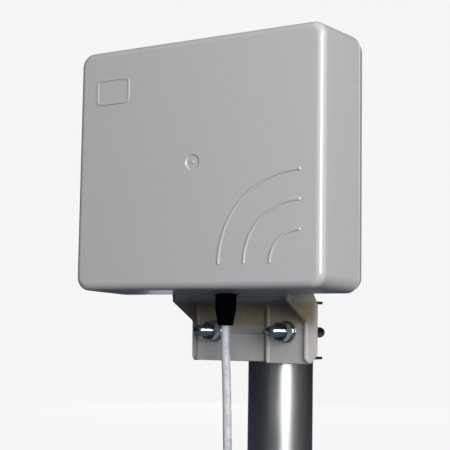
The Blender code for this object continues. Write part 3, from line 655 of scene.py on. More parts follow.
def arc_rib(radius):
    """A quarter-circle rounded ridge on the front face, with square ends."""
    across = [-0.9 + 1.8 * k / 10 for k in range(11)]
    section = [(-RIB_HALF * 1.02, -RIB_SINK)]
    section += [(s * RIB_HALF, RIB_TALL * sqrt(1 - s ** 2)) for s in across]
    section += [(RIB_HALF * 1.02, -RIB_SINK)]
    stations = 72
    rings = []
    for k in range(stations + 1):
        angle = radians(90 + 90 * k / stations)
        rings.append([(ARC_CENTRE_X + (radius + offset) * cos(angle), FRONT_Y - lift,
                       ARC_CENTRE_Z + (radius + offset) * sin(angle))
                      for offset, lift in section])
    return grid_solid(rings)


def radome_shell():
    # inner face, inner side, seam rim: (y, inset, corner radius)
    loops = [outline(*row) for row in (
        (INNER_FRONT, WALL + 2.0, 4.7), (INNER_FRONT + 0.6, WALL + 0.6, 6.1),
        (INNER_FRONT + 2.0, WALL, 6.7), (SEAM_Y - 0.3, WALL, 6.7), (SEAM_Y, WALL + 0.25, 6.5),
        (SEAM_Y, 0.3, 9.4), (SEAM_Y - 0.05, 0.14, 9.5), (SEAM_Y - 0.14, 0.04, 9.6),
        (SEAM_Y - 0.3, 0.0, CORNER_R))]
    # outer side
    for k in range(1, 6):
        y = SEAM_Y - 0.3 + (FRONT_Y + FRONT_R - SEAM_Y + 0.3) * k / 6
        loops.append(outline(y, 0.0, CORNER_R))
    # rounding into the front face
    for angle in quarter(10):
        inset = FRONT_R * (1 - cos(angle))
        loops.append(outline(FRONT_Y + FRONT_R * (1 - sin(angle)), inset, CORNER_R - 0.8 * inset))
    return grid_solid(loops)


def build_radome():
    radome = to_object("radome_shell", radome_shell())
    shapes = []
    for radius in ARC_RADII:
        shapes.append((JOIN, arc_rib(radius)))
        bead_centre = (ARC_CENTRE_X + 0.2, FRONT_Y, ARC_CENTRE_Z + radius)
        shapes.append((JOIN, turned(ARC_BEAD, bead_centre, FORWARD, 24)))
    # blank badge, softly crowned
    badge = [[(BADGE_X + x, FRONT_Y - lift, BADGE_Z + z)
              for x, z in rounded(BADGE_HALF_W - inset, BADGE_HALF_H - inset, corner, 8)]
             for lift, inset, corner in BADGE]
    shapes.append((JOIN, grid_solid(badge)))
    # gate mark: a shallow round sink with the gate's stub in the middle
    shapes.append((CUT, turned(GATE_DISH, (0, FRONT_Y, 0), FORWARD, 72)))
    shapes.append((JOIN, turned(GATE_STUB, (0, FRONT_Y, 0), FORWARD, 32)))
    for x, z in COVER_SCREWS:
        shapes.append((JOIN, rod_y(x, z, 4.0, INNER_FRONT - 1.0, -14.4, 32)))
        shapes.append((CUT, rod_y(x, z, 1.75, -30.0, -10.0, 24)))
    # the lead's notch in the underside, round at the front
    notch = [(-LEAD_HOLE_R, 0.0), (LEAD_HOLE_R, 0.0)]
    for degrees in range(0, -181, -6):
        angle = radians(degrees)
        notch.append((LEAD_HOLE_R * cos(angle), LEAD_Y + LEAD_HOLE_R * sin(angle)))
    shapes.append((CUT, prism(notch, "XY", -92.0, -82.0)))
    combine(radome, shapes)
    finish_piece(smooth_shell(radome), HOUSING, "antenna", "housing_grey", "front_radome")


# ---------------------------------------------------------------- rear cover

# cover screw hole with its counterbore: (radius, y)
COVER_HOLE = [(0, -20), (1.8, -20), (1.8, -2.6), (3.4, -2.6), (3.4, -0.35), (3.8, 0.05),
              (3.8, 5.0), (0, 5.0)]
# seat for the boot's neck and pocket for its flange: (radius, z)
BOOT_SEAT = [(0, -93.0), (LEAD_HOLE_R, -93.0), (LEAD_HOLE_R, -85.8), (7.4, -85.8), (7.4, -79.0),
             (0, -79.0)]


def rear_shell():
    rim = SEAM_Y + 0.3
    # inner face, then the spigot that enters the radome: (y, inset, corner radius)
    inner = [outline(*row) for row in (
        (-WALL, 9.6, 1.6), (-WALL - 0.8, 7.9, 3.2), (-WALL - 3.0, 6.8, 4.7),
        (SEAM_Y - 3.7, 6.8, 4.7), (SEAM_Y - 4.0, 6.5, 4.9), (SEAM_Y - 4.0, 5.3, 5.5),
        (SEAM_Y - 3.7, 5.0, 5.7), (rim, 5.0, 5.7))]
    # rim at the seam
    outer = [outline(*row) for row in (
        (rim, 0.85, 9.0), (rim + 0.16, 0.48, 9.4), (rim + 0.42, 0.2, 9.6), (rim + 0.8, 0.04, 9.7))]
    # elliptical rounding into the back
    for angle in quarter(20):
        y = -REAR_DEEP * (1 - sin(angle))
        inset = REAR_IN * (1 - cos(angle))
        if y > rim + 0.8:
            outer.append(outline(y, inset, max(CORNER_R - 0.55 * inset, 2.0)))
    outer = [[(x, y + BACK_Y, z) for x, y, z in loop] for loop in outer]
    return grid_solid(inner + outer)


def build_rear_cover():
    cover = to_object("rear_shell", rear_shell())
    shapes = []
    for x, z in COVER_SCREWS:
        shapes.append((JOIN, rod_y(x, z, 4.5, -14.1, -2.0, 32)))
        shapes.append((CUT, turned(COVER_HOLE, (x, 0, z), ALONG_Y, 40)))
    for x, z in REFLECTOR_SCREWS:
        shapes.append((JOIN, rod_y(x, z, 4.0, -28.2, -2.0, 32)))
        shapes.append((CUT, rod_y(x, z, 1.8, -35.0, -16.0, 24)))
    for x, z in BRACKET_SCREWS:
        shapes.append((JOIN, rod_y(x, z, 5.6, -14.0, -2.0, 32)))
        shapes.append((CUT, rod_y(x, z, 3.9, -12.0, 5.0, 32)))
    # the boot sits astride the seam: a gap in the spigot, then its seat
    shapes.append((CUT, cuboid((-9.5, 9.5), (-26.6, SEAM_Y - 0.05), (-86.0, -79.0))))
    shapes.append((CUT, turned(BOOT_SEAT, (0, LEAD_Y, 0), ALONG_Z)))
    combine(cover, shapes)
    finish_piece(smooth_shell(cover), REAR_PLASTIC, "antenna", "housing_grey", "rear_cover")


# ---------------------------------------------------------------- cross-headed screws

COVER_SCREW = dict(under=-2.3, head_r=3.0, head_h=1.75, shank_r=1.45, tip=-25.0)
BRACKET_SCREW = dict(under=4.3, head_r=4.6, head_h=3.0, shank_r=2.4, tip=-9.6)
SCREW_PITCH, SCREW_THREAD = 0.8, 0.22
RECESS_TURN = 0.35


def build_screw(kind, number, place, under, head_r, head_h, shank_r, tip):
    """A domed head above y = under, facing +Y, and a ringed shank down to the tip."""
    x, z = place
    profile = [(0, tip - 1.0), (shank_r * 0.3, tip - 0.6), (shank_r, tip + 1.0)]
    y = tip + 1.0
    while y < under - 1.4:
        profile += [(shank_r, y + 0.1 * SCREW_PITCH),
                    (shank_r - SCREW_THREAD, y + 0.5 * SCREW_PITCH),
                    (shank_r, y + 0.9 * SCREW_PITCH)]
        y += SCREW_PITCH
    profile += [(shank_r, under), (head_r * 0.96, under), (head_r, under + 0.15),
                (head_r, under + head_h * 0.38)]
    profile += [(head_r * cos(angle), under + head_h * (0.38 + 0.62 * sin(angle)))
                for angle in quarter(7)[1:]]
    screw = to_object(f"{kind}_screw_head_{number}", turned(profile, (x, 0, z), ALONG_Y, 48))
    # cross recess: two tapered slots
    top = under + head_h
    arm, half, deep = head_r * 0.56, head_r * 0.13, head_h * 0.7
    slots = []
    for turn in (RECESS_TURN, RECESS_TURN + pi / 2):
        rings = []
        for y, grow in ((top - deep, 0.45), (top + 0.3, 1.05)):
            ring = []
            for end, side in ((-1, -1), (1, -1), (1, 1), (-1, 1)):
                along = end * arm * grow
                across = side * half * (0.6 + 0.4 * grow)
                ring.append((x + cos(turn) * along - sin(turn) * across, y,
                             z + sin(turn) * along + cos(turn) * across))
            rings.append(ring)
        slots.append((CUT, grid_solid(rings)))
    combine(screw, slots)
    finish_piece(smooth(screw, 32), ZINC_SCREW, "antenna", "zinc_steel", f"{kind}_screw_{number}")


# ---------------------------------------------------------------- moulded bracket

HALF_B, WALL_B, BOTTOM = 49.3, 2.8, -137.7
PAD_Y, CHANNEL_Y, PLATE_BACK, BACK_B, BOSS_BACK = 17.5, 20.0, 23.0, 30.0, 31.6
PAD_X = 12.8                     # inner edge of each bolt pad
PAD_FOOT, PAD_RISE = -103.0, 12.4            # where the pads start to sweep forward, and how high
CHANNEL_FOOT, CHANNEL_RISE = -101.0, 9.6     # the same for the channel between them
SWEEP = 8.0                      # how far forward both sweep
SHELF_Z = -91.0

# the (y, z) outlines seen from the side
WALL_BACK = [(4.0, -50.0), (9.5, -64.0), (23.0, -87.2), (BACK_B, -95.0), (BACK_B, -131.4)]
WALL_FOOT = [(26.0, -134.6), (20.6, BOTTOM), (16.0, BOTTOM), (13.5, -134.6), (13.2, -108.0),
             (-14.7, -94.0)]
RIB = [(0.8, -50.3), (3.7, -50.3), (9.3, -64.3), (22.8, -87.5), (BACK_B, -95.3),
       (BACK_B, -131.2), (25.9, -134.4), (21.0, BOTTOM + 0.5), (21.0, SHELF_Z), (0.8, SHELF_Z)]
SHELF = [(-8.0, -89.2), (-9.0, -88.75), (-14.2, -88.75), (-14.2, -90.45), (3.0, -91.3),
         (11.0, -93.0), (17.0, -96.0), (PLATE_BACK - 0.4, -103.0), (PLATE_BACK - 0.4, -89.45)]


def sweep_forward(face_y, foot_z, rise):
    """(y, z) points of a face that curves forward as it rises."""
    return [(face_y - SWEEP * (1 - cos(angle)), foot_z + rise * sin(angle))
            for angle in quarter(8)]


PAD_SWEEP = sweep_forward(PAD_Y, PAD_FOOT, PAD_RISE)
CHANNEL_SWEEP = sweep_forward(CHANNEL_Y, CHANNEL_FOOT, CHANNEL_RISE)


def on_side(side, near, far):
    """The (low, high) in x of a span on the left (-1) or right (1)."""
    return sorted((side * near, side * far))


def bracket_walls():
    """Two side walls whose upper front edge follows the cover's rounding, 0.4 mm clear."""
    under = []
    first = asin(1 - 14.9 / REAR_DEEP)
    for k in range(15):
        angle = first + (pi / 2 - first) * k / 14
        clear = Vector((sin(angle) / REAR_DEEP, -cos(angle) / REAR_IN)).normalized() * 0.4
        under.append((-REAR_DEEP * (1 - sin(angle)) + clear.x,
                      -HALF_H + REAR_IN * (1 - cos(angle)) + clear.y))
    back = eased(WALL_BACK + WALL_FOOT, radius=1.4, limit=0.4, steps=5)
    wall = under + [(0.35, -50.0)] + back
    return [prism(wall, "YZ", -HALF_B, -HALF_B + WALL_B),
            prism(wall, "YZ", HALF_B - WALL_B, HALF_B)]


def bracket_side(side):
    """Bolt pad, upright rib, bolt boss and the boss's webs on one side."""
    pad_back = PLATE_BACK - 0.6
    pad = [(pad_back, BOTTOM + 0.2), (PAD_Y, BOTTOM + 0.2), *PAD_SWEEP, (pad_back, SHELF_Z)]
    web_y = (PLATE_BACK - 1, BACK_B - 1.5)
    upright_x = (side * LEG_X - 1.1, side * LEG_X + 1.1)
    return [
        prism(pad, "YZ", *on_side(side, PAD_X, HALF_B - 1.2)),
        prism(RIB, "YZ", *on_side(side, PAD_X - 1.25, PAD_X + 1.25)),
        rod_y(side * LEG_X, CLAMP_Z, 8.0, PLATE_BACK - 1.0, BOSS_BACK),
        cuboid(on_side(side, LEG_X + 7, HALF_B - 1), web_y, (CLAMP_Z - 1.1, CLAMP_Z + 1.1)),
        cuboid(upright_x, web_y, (CLAMP_Z + 6, SHELF_Z)),
        cuboid(upright_x, web_y, (BOTTOM + 2.5, CLAMP_Z - 6)),
    ]


def left_pad_ramp():
    """The left pad runs out into the channel as a slope, with no edge."""
    rings = []
    for pad_face, z in [(PAD_Y, BOTTOM + 0.25)] + PAD_SWEEP:
        angle = asin(clamp((z - CHANNEL_FOOT) / CHANNEL_RISE))
        channel_face = CHANNEL_Y - SWEEP * (1 - cos(angle))
        rings.append([(-PAD_X - 3.0, pad_face + 0.02, z), (-PAD_X + 0.4, pad_face + 0.02, z),
                      (3.5, channel_face + 0.02, z), (3.5, 22.4, z), (-PAD_X - 3.0, 22.4, z)])
    return grid_solid(rings)


def right_pad_bead():
    """A rounded bead along the right pad's free edge, sweeping forward with it."""
    rings = []
    for y, z in [(PAD_Y, BOTTOM - 0.3)] + PAD_SWEEP:
        crown = [(PAD_X + 1.45 + 1.5 * cos(angle), y + 0.25 - 1.15 * sin(angle), z)
                 for angle in (pi * k / 10 for k in range(11))]
        rings.append(crown + [(PAD_X - 0.05, y + 2.0, z), (PAD_X + 2.95, y + 2.0, z)])
    return grid_solid(rings)


def bracket_parts():
    inner_x = (-HALF_B + 0.6, HALF_B - 0.6)
    ridge_z = (CLAMP_Z - 1.2, CLAMP_Z + 0.6)
    channel = [(CHANNEL_Y + 1.5, -108.0), *CHANNEL_SWEEP, (CHANNEL_Y + 1.5, SHELF_Z)]
    return [
        *bracket_walls(),
        # plate
        cuboid(inner_x, (CHANNEL_Y, PLATE_BACK), (BOTTOM + 0.3, -89.9)),
        *bracket_side(-1),
        *bracket_side(1),
        left_pad_ramp(),
        right_pad_bead(),
        # lip under the right pad
        cuboid((PAD_X, HALF_B - 1.2), (PAD_Y, PLATE_BACK - 0.6), (BOTTOM - 0.7, BOTTOM + 1.0)),
        prism(channel, "YZ", -PAD_X - 1.0, PAD_X + 1.0),
        prism(SHELF, "YZ", -HALF_B + 0.7, HALF_B - 0.7),
        # flange against the rear cover
        cuboid((-HALF_B + 0.5, HALF_B - 0.5), (0.4, 4.0), (-92.2, -50.2)),
        # level ridges across the channel and the pads
        cuboid((-46.6, 46.6), (CHANNEL_Y - 1.5, PLATE_BACK - 0.8), ridge_z),
        cuboid((-47.1, 47.1), (PAD_Y - 0.9, PAD_Y + 1.5), ridge_z),
    ]


def build_bracket():
    joined = bmesh.new()
    for bm in bracket_parts():
        mesh = bpy.data.meshes.new("part")
        bm.to_mesh(mesh)
        bm.free()
        joined.from_mesh(mesh)
        bpy.data.meshes.remove(mesh)
    bracket = to_object("pole_bracket", joined)
    # the remesh fuses the overlapping parts into one moulding, with soft edges
    remesh = bracket.modifiers.new("remesh", "REMESH")
    remesh.mode = "VOXEL"
    remesh.voxel_size = 0.5 * MM
    relax = bracket.modifiers.new("relax", "SMOOTH")
    relax.factor = 0.5
    relax.iterations = 2
    apply_modifiers(bracket)
    # holes for the U-bolt legs, the bracket screws and the boot
    cuts = [(CUT, rod_y(x, CLAMP_Z, ROD_R + 0.6, 5.0, 40.0)) for x in (-LEG_X, LEG_X)]
    cuts += [(CUT, rod_y(x, z, 2.8, -3.0, 12.0)) for x, z in BRACKET_SCREWS]
    cuts.append((CUT, turned(rod_profile(8.6, -97.0, -86.0), (0, LEAD_Y, 0), ALONG_Z, 72)))
    combine(bracket, cuts)
    finish_piece(smooth(bracket, 50), BRACKET_PLASTIC, "antenna", "bracket_grey", "mount_bracket")


# ---------------------------------------------------------------- clamp: U-bolt, nuts, washers

BOLT_PITCH, BOLT_THREAD, THREAD_END = 1.25, 0.70, 33.0
LEG_END = 48.0                   # the last straight station of each leg
NUT_FLATS, NUT_BORE, NUT_TURN = 13.0, ROD_R + 0.12, 0.35


def u_bolt_path(tip, bend_y):
    """(point, distance from the tip) along the rod, with None for the distance past the thread."""
    path = []
    y = tip
    while y < THREAD_END:
        path.append((Vector((-LEG_X, y, CLAMP_Z)), y - tip))
        y += BOLT_PITCH / 7
    threaded = list(path)
    path.append((Vector((-LEG_X, LEG_END, CLAMP_Z)), None))
    for k in range(49):
        angle = pi * k / 48
        path.append((Vector((-LEG_X * cos(angle), bend_y + LEG_X * sin(angle), CLAMP_Z)), None))
    path.append((Vector((LEG_X, LEG_END, CLAMP_Z)), None))
    path += [(Vector((LEG_X, p.y, p.z)), along) for p, along in reversed(threaded)]
    return path


def thread_radius(along, run, angle, length):
    """The rod's radius where the helical thread is cut, fading in at its end."""
    phase = (run / BOLT_PITCH - angle / (2 * pi)) % 1.0
    wave = clamp((abs(phase - 0.5) - 0.0625) / 0.3125)
    radius = ROD_R - BOLT_THREAD * (1 - wave) * clamp((length - along) / 3.0)
    if along < 1.0:
        # chamfered tip
        radius = min(radius, ROD_R - 0.95 + along * 0.95)
    return radius


def build_u_bolt():
    low, high = box_mm("u_bolt")
    path = u_bolt_path(low.y, high.y - LEG_X - ROD_R)
    points = [point for point, _ in path]
    side = Vector((0, 0, 1))
    rings = []
    for i, (point, along) in enumerate(path):
        ahead = (points[min(i + 1, len(points) - 1)] - points[max(i - 1, 0)]).normalized()
        side = (side - ahead * side.dot(ahead)).normalized()
        other = ahead.cross(side)
        ring = []
        for angle in circle(36):
            radius = ROD_R
            if along is not None:
                # the second leg's distance runs against the path
                run = along if point.x < 0 else -along
                radius = thread_radius(along, run, angle, THREAD_END - low.y)
            ring.append(point + (side * cos(angle) + other * sin(angle)) * radius)
        rings.append(ring)
    u_bolt = to_object("u_bolt_threaded", grid_solid(rings))
    finish_piece(smooth(u_bolt, 60), ZINC_BRIGHT, "u_bolt_body", "zinc_steel", "u_bolt")


def build_nut(word, x):
    """A hexagon nut along Y, with chamfered corners and a countersunk bore."""
    low, high = box_mm(f"nut_{word}")
    middle_y = (low.y + high.y) / 2
    half = (high.y - low.y) / 2
    apothem = NUT_FLATS / 2
    face_r = apothem * 0.955
    columns = []
    for angle in circle(120):
        from_flat = (angle - NUT_TURN + pi / 6) % (pi / 3) - pi / 6
        # the six long edges are a little softened
        reach = min(apothem / cos(from_flat), apothem / cos(pi / 6) - 0.12)
        drop = (reach - face_r) * tan(radians(30))
        mid_r = face_r + (reach - face_r) * 0.5
        # (radius, distance along Y from the middle)
        section = [(face_r, -half), (mid_r, -half + drop * 0.5), (reach, -half + drop),
                   (reach, 0.0), (reach, half - drop), (mid_r, half - drop * 0.5),
                   (face_r, half), (NUT_BORE + 0.75, half), (NUT_BORE, half - 0.7),
                   (NUT_BORE, -half + 0.7), (NUT_BORE + 0.75, -half)]
        columns.append([(x + radius * cos(angle), middle_y + along,
                         CLAMP_Z + radius * sin(angle)) for radius, along in section])
    nut = to_object(f"clamp_nut_{word}", grid_solid(list(zip(*columns)), wrap=True))
    finish_piece(smooth(nut, 24), ZINC_BRIGHT, f"nut_{word}_body", "zinc_steel", f"nut_{word}")


def build_spring_washer(word, x):
    """A split ring whose ends stand a little apart."""
    low, high = box_mm(f"spring_washer_{word}")
    start, end = low.y + 0.05, high.y - 0.05
    inner, outer = ROD_R + 0.3, 6.9
    section = [(inner, start + 0.1), (inner + 0.1, start), (outer - 0.15, start),
               (outer, start + 0.15), (outer, end - 0.15), (outer - 0.15, end),
               (inner + 0.1, end), (inner, end - 0.1)]
    steps = 90
    rings = []
    for k in range(steps + 1):
        angle = radians(100 + 350 * k / steps)
        lean = 0.10 * (k / steps - 0.5)
        rings.append([(x + radius * cos(angle), y + lean, CLAMP_Z + radius * sin(angle))
                      for radius, y in section])
    ring = to_object(f"clamp_spring_washer_{word}", grid_solid(rings))
    finish_piece(smooth(ring, 30), ZINC_BRIGHT, "antenna", "zinc_steel", f"spring_washer_{word}")


def build_flat_washer(word, x):
    low, high = box_mm(f"flat_washer_{word}")
    inner, outer = ROD_R + 0.3, 8.0
    section = [(inner, low.y), (outer, low.y), (outer, high.y), (inner, high.y)]
    profile = eased(section, radius=0.3, limit=0.45, steps=3)
    ring = to_object(f"clamp_flat_washer_{word}", turned(profile, (x, 0, CLAMP_Z), ALONG_Y, 96))
    finish_piece(smooth(ring, 30), ZINC_BRIGHT, "antenna", "zinc_steel", f"flat_washer_{word}")


# ---------------------------------------------------------------- saddle jaw

JAW_SHEET, JAW_BEND = 2.0, 2.6   # sheet thickness, outer bend radius
JAW_GRIP_R = 25.3                # the circle that both sides of the vee touch
JAW_TEETH, TOOTH_DEEP = 14, 1.0


def jaw_section(low, high):
    """A channel open towards +Y, seen from the side."""
    bend_y = low.y + JAW_BEND
    bend_low, bend_high = low.z + JAW_BEND, high.z - JAW_BEND
    inner = JAW_BEND - JAW_SHEET
    section = [(high.y, low.z)]
    section += [(bend_y - JAW_BEND * sin(a), bend_low - JAW_BEND * cos(a)) for a in quarter(8)]
    section += [(bend_y - JAW_BEND * cos(a), bend_high + JAW_BEND * sin(a)) for a in quarter(8)]
    section += [(high.y, high.z), (high.y, high.z - JAW_SHEET)]
    section += [(bend_y - inner * sin(a), bend_high + inner * cos(a)) for a in quarter(5)]
    section += [(bend_y - inner * cos(a), bend_low - inner * sin(a)) for a in quarter(5)]
    return section + [(high.y, low.z + JAW_SHEET)]


def toothed_vee(reach_y):
    """The (x, y) outline cut from both flanges."""
    apex = POLE_Y - JAW_GRIP_R / cos(radians(30))
    slope = tan(radians(30))
    reach = (reach_y - apex) / slope
    vee = [(reach + 4.0, reach_y + 5.0)]
    for k in range(JAW_TEETH):
        x = reach * (JAW_TEETH - k) / JAW_TEETH
        vee.append((x, apex + x * slope))
        x = reach * (JAW_TEETH - k - 0.5) / JAW_TEETH
        vee.append((x, apex + x * slope - TOOTH_DEEP))
    return vee + [(0.0, apex - 0.5)] + [(-x, y) for x, y in reversed(vee)]


def build_jaw():
    """Folded sheet with a toothed vee that grips the pole."""
    low, high = box_mm("saddle_jaw")
    jaw = to_object("toothed_jaw", prism(jaw_section(low, high), "YZ", -high.x, high.x))
    vee = toothed_vee(high.y)
    cuts = [(CUT, prism(vee, "XY", high.z - 6.0, high.z + 4.0)),
            (CUT, prism(vee, "XY", low.z - 4.0, low.z + 6.0))]
    cuts += [(CUT, rod_y(x, CLAMP_Z, ROD_R + 0.5, 25.0, 45.0)) for x in (-LEG_X, LEG_X)]
    combine(jaw, cuts)
    bevel = jaw.modifiers.new("bevel", "BEVEL")
    bevel.width = 0.18 * MM
    bevel.segments = 2
    bevel.limit_method = "ANGLE"
    bevel.angle_limit = radians(40)
    bevel.use_clamp_overlap = True
    apply_modifiers(jaw)
    finish_piece(smooth(jaw, 30), ZINC_JAW, "antenna", "zinc_steel", "saddle_jaw")


# ---------------------------------------------------------------- pole stub

def build_pole():
    low, high = box_mm("mast_stub")
    outer, inner, levels = (high.x - low.x) / 2, 23.0, 40
    profile = [(inner, low.z + 0.4), (inner + 0.4, low.z), (outer - 0.5, low.z)]
    profile += [(outer, low.z + 0.5 + (high.z - low.z - 1.0) * k / levels) for k in range(levels)]
    profile += [(outer, high.z - 0.5), (outer - 0.5, high.z), (inner + 0.4, high.z),
                (inner, high.z - 0.4)]
    pole = to_object("pole_tube", turned(profile, (0, POLE_Y, 0), ALONG_Z, 128))
    finish_piece(smooth(pole, 30), POLE_STEEL, "mast", "pole_steel", "mast_stub")


# ---------------------------------------------------------------- boot and lead

BOOT_TOP, BOOT_STRAIGHT = -89.35, -99.3      # shoulder, and top of the taper
LEAD_TOP, LEAD_STEPS = -34.0, 300


def build_boot():
    low, high = box_mm("strain_relief_boot")
    end = low.z
    # open end, taper, straight part, neck, flange
    profile = [(3.35, end + 0.4), (3.7, end), (5.1, end), (5.45, end + 0.35)]
    profile += [(5.5 + 2.1 * k / 10, end + 0.6 + (BOOT_STRAIGHT - end - 0.6) * k / 10)
                for k in range(11)]
    profile += [(7.6, BOOT_STRAIGHT + 1.0), (7.6, BOOT_TOP - 0.5), (7.45, BOOT_TOP - 0.1),
                (7.2, BOOT_TOP), (5.7, BOOT_TOP), (5.7, -85.4), (6.9, -85.4), (7.0, -85.2),
                (7.0, -83.2), (6.8, high.z), (3.35, high.z)]
    boot = to_object("rubber_boot", turned(profile, (0, LEAD_Y, 0), ALONG_Z, 96))
    finish_piece(smooth(boot, 45), RUBBER, "antenna", "boot_rubber", "strain_relief_boot")


def lead_offset(z):
    """How far the lead has drifted in x towards the plug at this height."""
    fall = max(0.0, (SWING_Z - z) / 95.0)
    run = sqrt(fall * fall + 0.0016) - 0.04
    if run > 0.85:
        over = min(run - 0.85, 0.3)
        run = 0.85 + over - over * over / 0.6
    return PLUG_X * run


def build_lead():
    end = box_mm("coax_cable")[0].z
    rings = []
    for k in range(LEAD_STEPS + 1):
        z = LEAD_TOP + (end - LEAD_TOP) * k / LEAD_STEPS
        # a slight set left by the coil it was packed in
        sway = 0.0
        if z < SWING_Z:
            sway = sin((SWING_Z - z) / (SWING_Z - end) * pi) ** 2
        x = lead_offset(z) + 0.35 * sway * sin(2.6 * pi * (SWING_Z - z) / 150.0)
        radius = LEAD_R * (1 + 0.006 * sin(z * 0.9) + 0.004 * sin(z * 2.3))
        if k in (0, LEAD_STEPS):
            radius -= 0.25
        rings.append(level_ring(x, LEAD_Y - 0.4 * sway, z, [radius] * 40))
    lead = smooth(to_object("lead_jacket", grid_solid(rings)), 60)
    lead.data.materials.append(JACKET)
    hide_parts("coax_cable", "coax_feed_tail")
    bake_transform(lead)


def build_core():
    """The lead's inner conductor: up out of the jacket, then forward."""
    bend = 3.5
    path = [(0, LEAD_Y, -36.0), (0, LEAD_Y, -27.0)]
    path += [(0, LEAD_Y - bend * (1 - cos(angle)), -25.5 + bend * sin(angle))
             for angle in quarter(8)[1:]]
    path.append((0, -25.4, -22.0))
    side = Vector((1, 0, 0))
    rings = []
    for i, point in enumerate(path):
        before, after = path[max(i - 1, 0)], path[min(i + 1, len(path) - 1)]
        other = (Vector(after) - Vector(before)).normalized().cross(side)
        rings.append([Vector(point) + side * cos(angle) + other * sin(angle)
                      for angle in circle(20)])
    core = to_object("lead_core", grid_solid(rings))
    finish_piece(smooth(core, 40), BRASS, "antenna", "brass")


# ---------------------------------------------------------------- plug

# turned profiles: (radius, z)
DIELECTRIC_PROFILE = [(1.05, -272.0), (2.4, -272.0), (2.4, -297.0), (1.05, -297.0)]
PIN_PROFILE = [(0, -270.5), (0.7, -270.5), (0.8, -270.7), (0.8, -300.0), (0.7, -301.2),
               (0.35, -302.2), (0, -302.5)]


def turned_plug(name, profile, steps):
    return to_object(name, turned(profile, (PLUG_X, LEAD_Y, 0), ALONG_Z, steps))


def plug_rings(name, stations):
    """A closed ring-shaped solid on the plug's axis, from (z, radii) stations."""
    rings = [level_ring(PLUG_X, LEAD_Y, z, radii) for z, radii in stations]
    return smooth(to_object(name, grid_solid(rings, wrap=True)), 28)


def build_ferrule():
    """Crimped ferrule, hexagonal where the tool closed on it."""
    low, high = box_mm("crimp_ferrule")
    sides, outer = 96, 4.1
    plain, ends, bore = [outer] * sides, [outer - 0.3] * sides, [3.35] * sides
    pressed = [min(outer, 3.72 / cos(angle % (pi / 3) - pi / 6)) for angle in circle(sides)]
    ferrule = plug_rings("plug_ferrule", [
        (high.z, ends), (high.z - 0.3, plain), (high.z - 1.6, plain), (high.z - 2.2, pressed),
        (high.z - 10.8, pressed), (high.z - 11.4, plain), (low.z + 0.3, plain), (low.z, ends),
        (low.z, bore), (high.z, bore)])
    finish_piece(ferrule, NICKEL, "lead", "nickel", "crimp_ferrule")


def build_plug_body():
    low, high = box_mm("connector_body")
    section = [(2.7, high.z), (5.2, high.z), (5.2, -275.0), (7.5, -275.4), (7.5, -283.0),
               (5.6, -283.0), (5.6, -287.0), (6.8, -287.0), (6.8, -290.0), (4.1, -290.0),
               (4.1, low.z), (2.7, low.z)]
    plug = turned_plug("plug_body", eased(section, radius=0.35, limit=0.45, steps=3), 96)
    # two spanner flats on the flange
    combine(plug, [(CUT, cuboid(x, (LEAD_Y - 12, LEAD_Y + 12), (-284.0, -274.5)))
                   for x in ((PLUG_X + 6.4, PLUG_X + 12.0), (PLUG_X - 12.0, PLUG_X - 6.4))])
    finish_piece(smooth(plug, 30), NICKEL, "lead", "nickel", "connector_body")


def build_plug_inside():
    profile = eased(DIELECTRIC_PROFILE, radius=0.2, limit=0.45, steps=3)
    insulator = smooth(turned_plug("plug_dielectric", profile, 64), 30)
    finish_piece(insulator, DIELECTRIC, "lead", "insulator", "connector_insulator")
    pin = smooth(turned_plug("plug_pin", PIN_PROFILE, 32), 40)
    finish_piece(pin, BRASS, "lead", "brass", "connector_pin")


def build_coupling_nut():
    """Straight knurl between plain bands, with a thread inside the mouth."""
    low, high = box_mm("connector_coupling_nut")
    sides, teeth, knurl_deep = 240, 60, 0.28
    knurl = [knurl_deep * (1 - abs(((angle * teeth / (2 * pi)) % 1) * 2 - 1))
             for angle in circle(sides)]
    # (radius, z, knurled)
    profile = [
        (5.9, high.z - 0.3, False), (6.2, high.z, False), (8.9, high.z, False),
        (9.4, high.z - 0.35, False), (9.9, high.z - 1.3, False), (10.05, high.z - 1.9, False),
        (10.05, high.z - 2.2, True), (10.05, high.z - 11.0, True),
        (10.05, high.z - 11.3, False), (10.2, high.z - 11.6, False), (10.2, low.z + 1.0, False),
        (9.9, low.z + 0.2, False), (9.6, low.z, False), (8.5, low.z, False),
        (8.2, low.z + 0.3, False)]
    pitch, crest_r, root_r = 1.06, 7.9, 8.35
    z = low.z + 0.6
    while z < low.z + 11.0:
        profile += [(crest_r, z, False), (root_r, z + pitch / 2, False)]
        z += pitch
    profile += [(crest_r, z, False), (crest_r, -286.6, False), (5.9, -286.6, False)]
    stations = [(z, [radius - cut for cut in knurl] if knurled else [radius] * sides)
                for radius, z, knurled in profile]
    nut = plug_rings("plug_coupling_nut", stations)
    finish_piece(nut, NICKEL, "plug_nut", "nickel", "connector_coupling_nut")


# ---------------------------------------------------------------- CAD pieces that stay

def dress_cad_pieces():
    carried = {
        "seam_gasket": GASKET, "reflector_tray": SHEET, "driven_patch": SHEET,
        "director_patch": SHEET, "feed_board": LAMINATE, "feed_pin": BRASS,
        **{f"patch_post_{k}": NYLON for k in range(1, 5)},
        **{f"reflector_screw_{k}": ZINC_SCREW for k in range(1, 5)},
        **{f"bracket_insert_{k}": BRASS for k in range(1, 5)},
    }
    for name, material in carried.items():
        node = frame["nodes"][name]
        if not node.material_slots:
            node.data.materials.append(material)
        for holder in node.material_slots:
            holder.material = material


# ---------------------------------------------------------------- stage (metres)

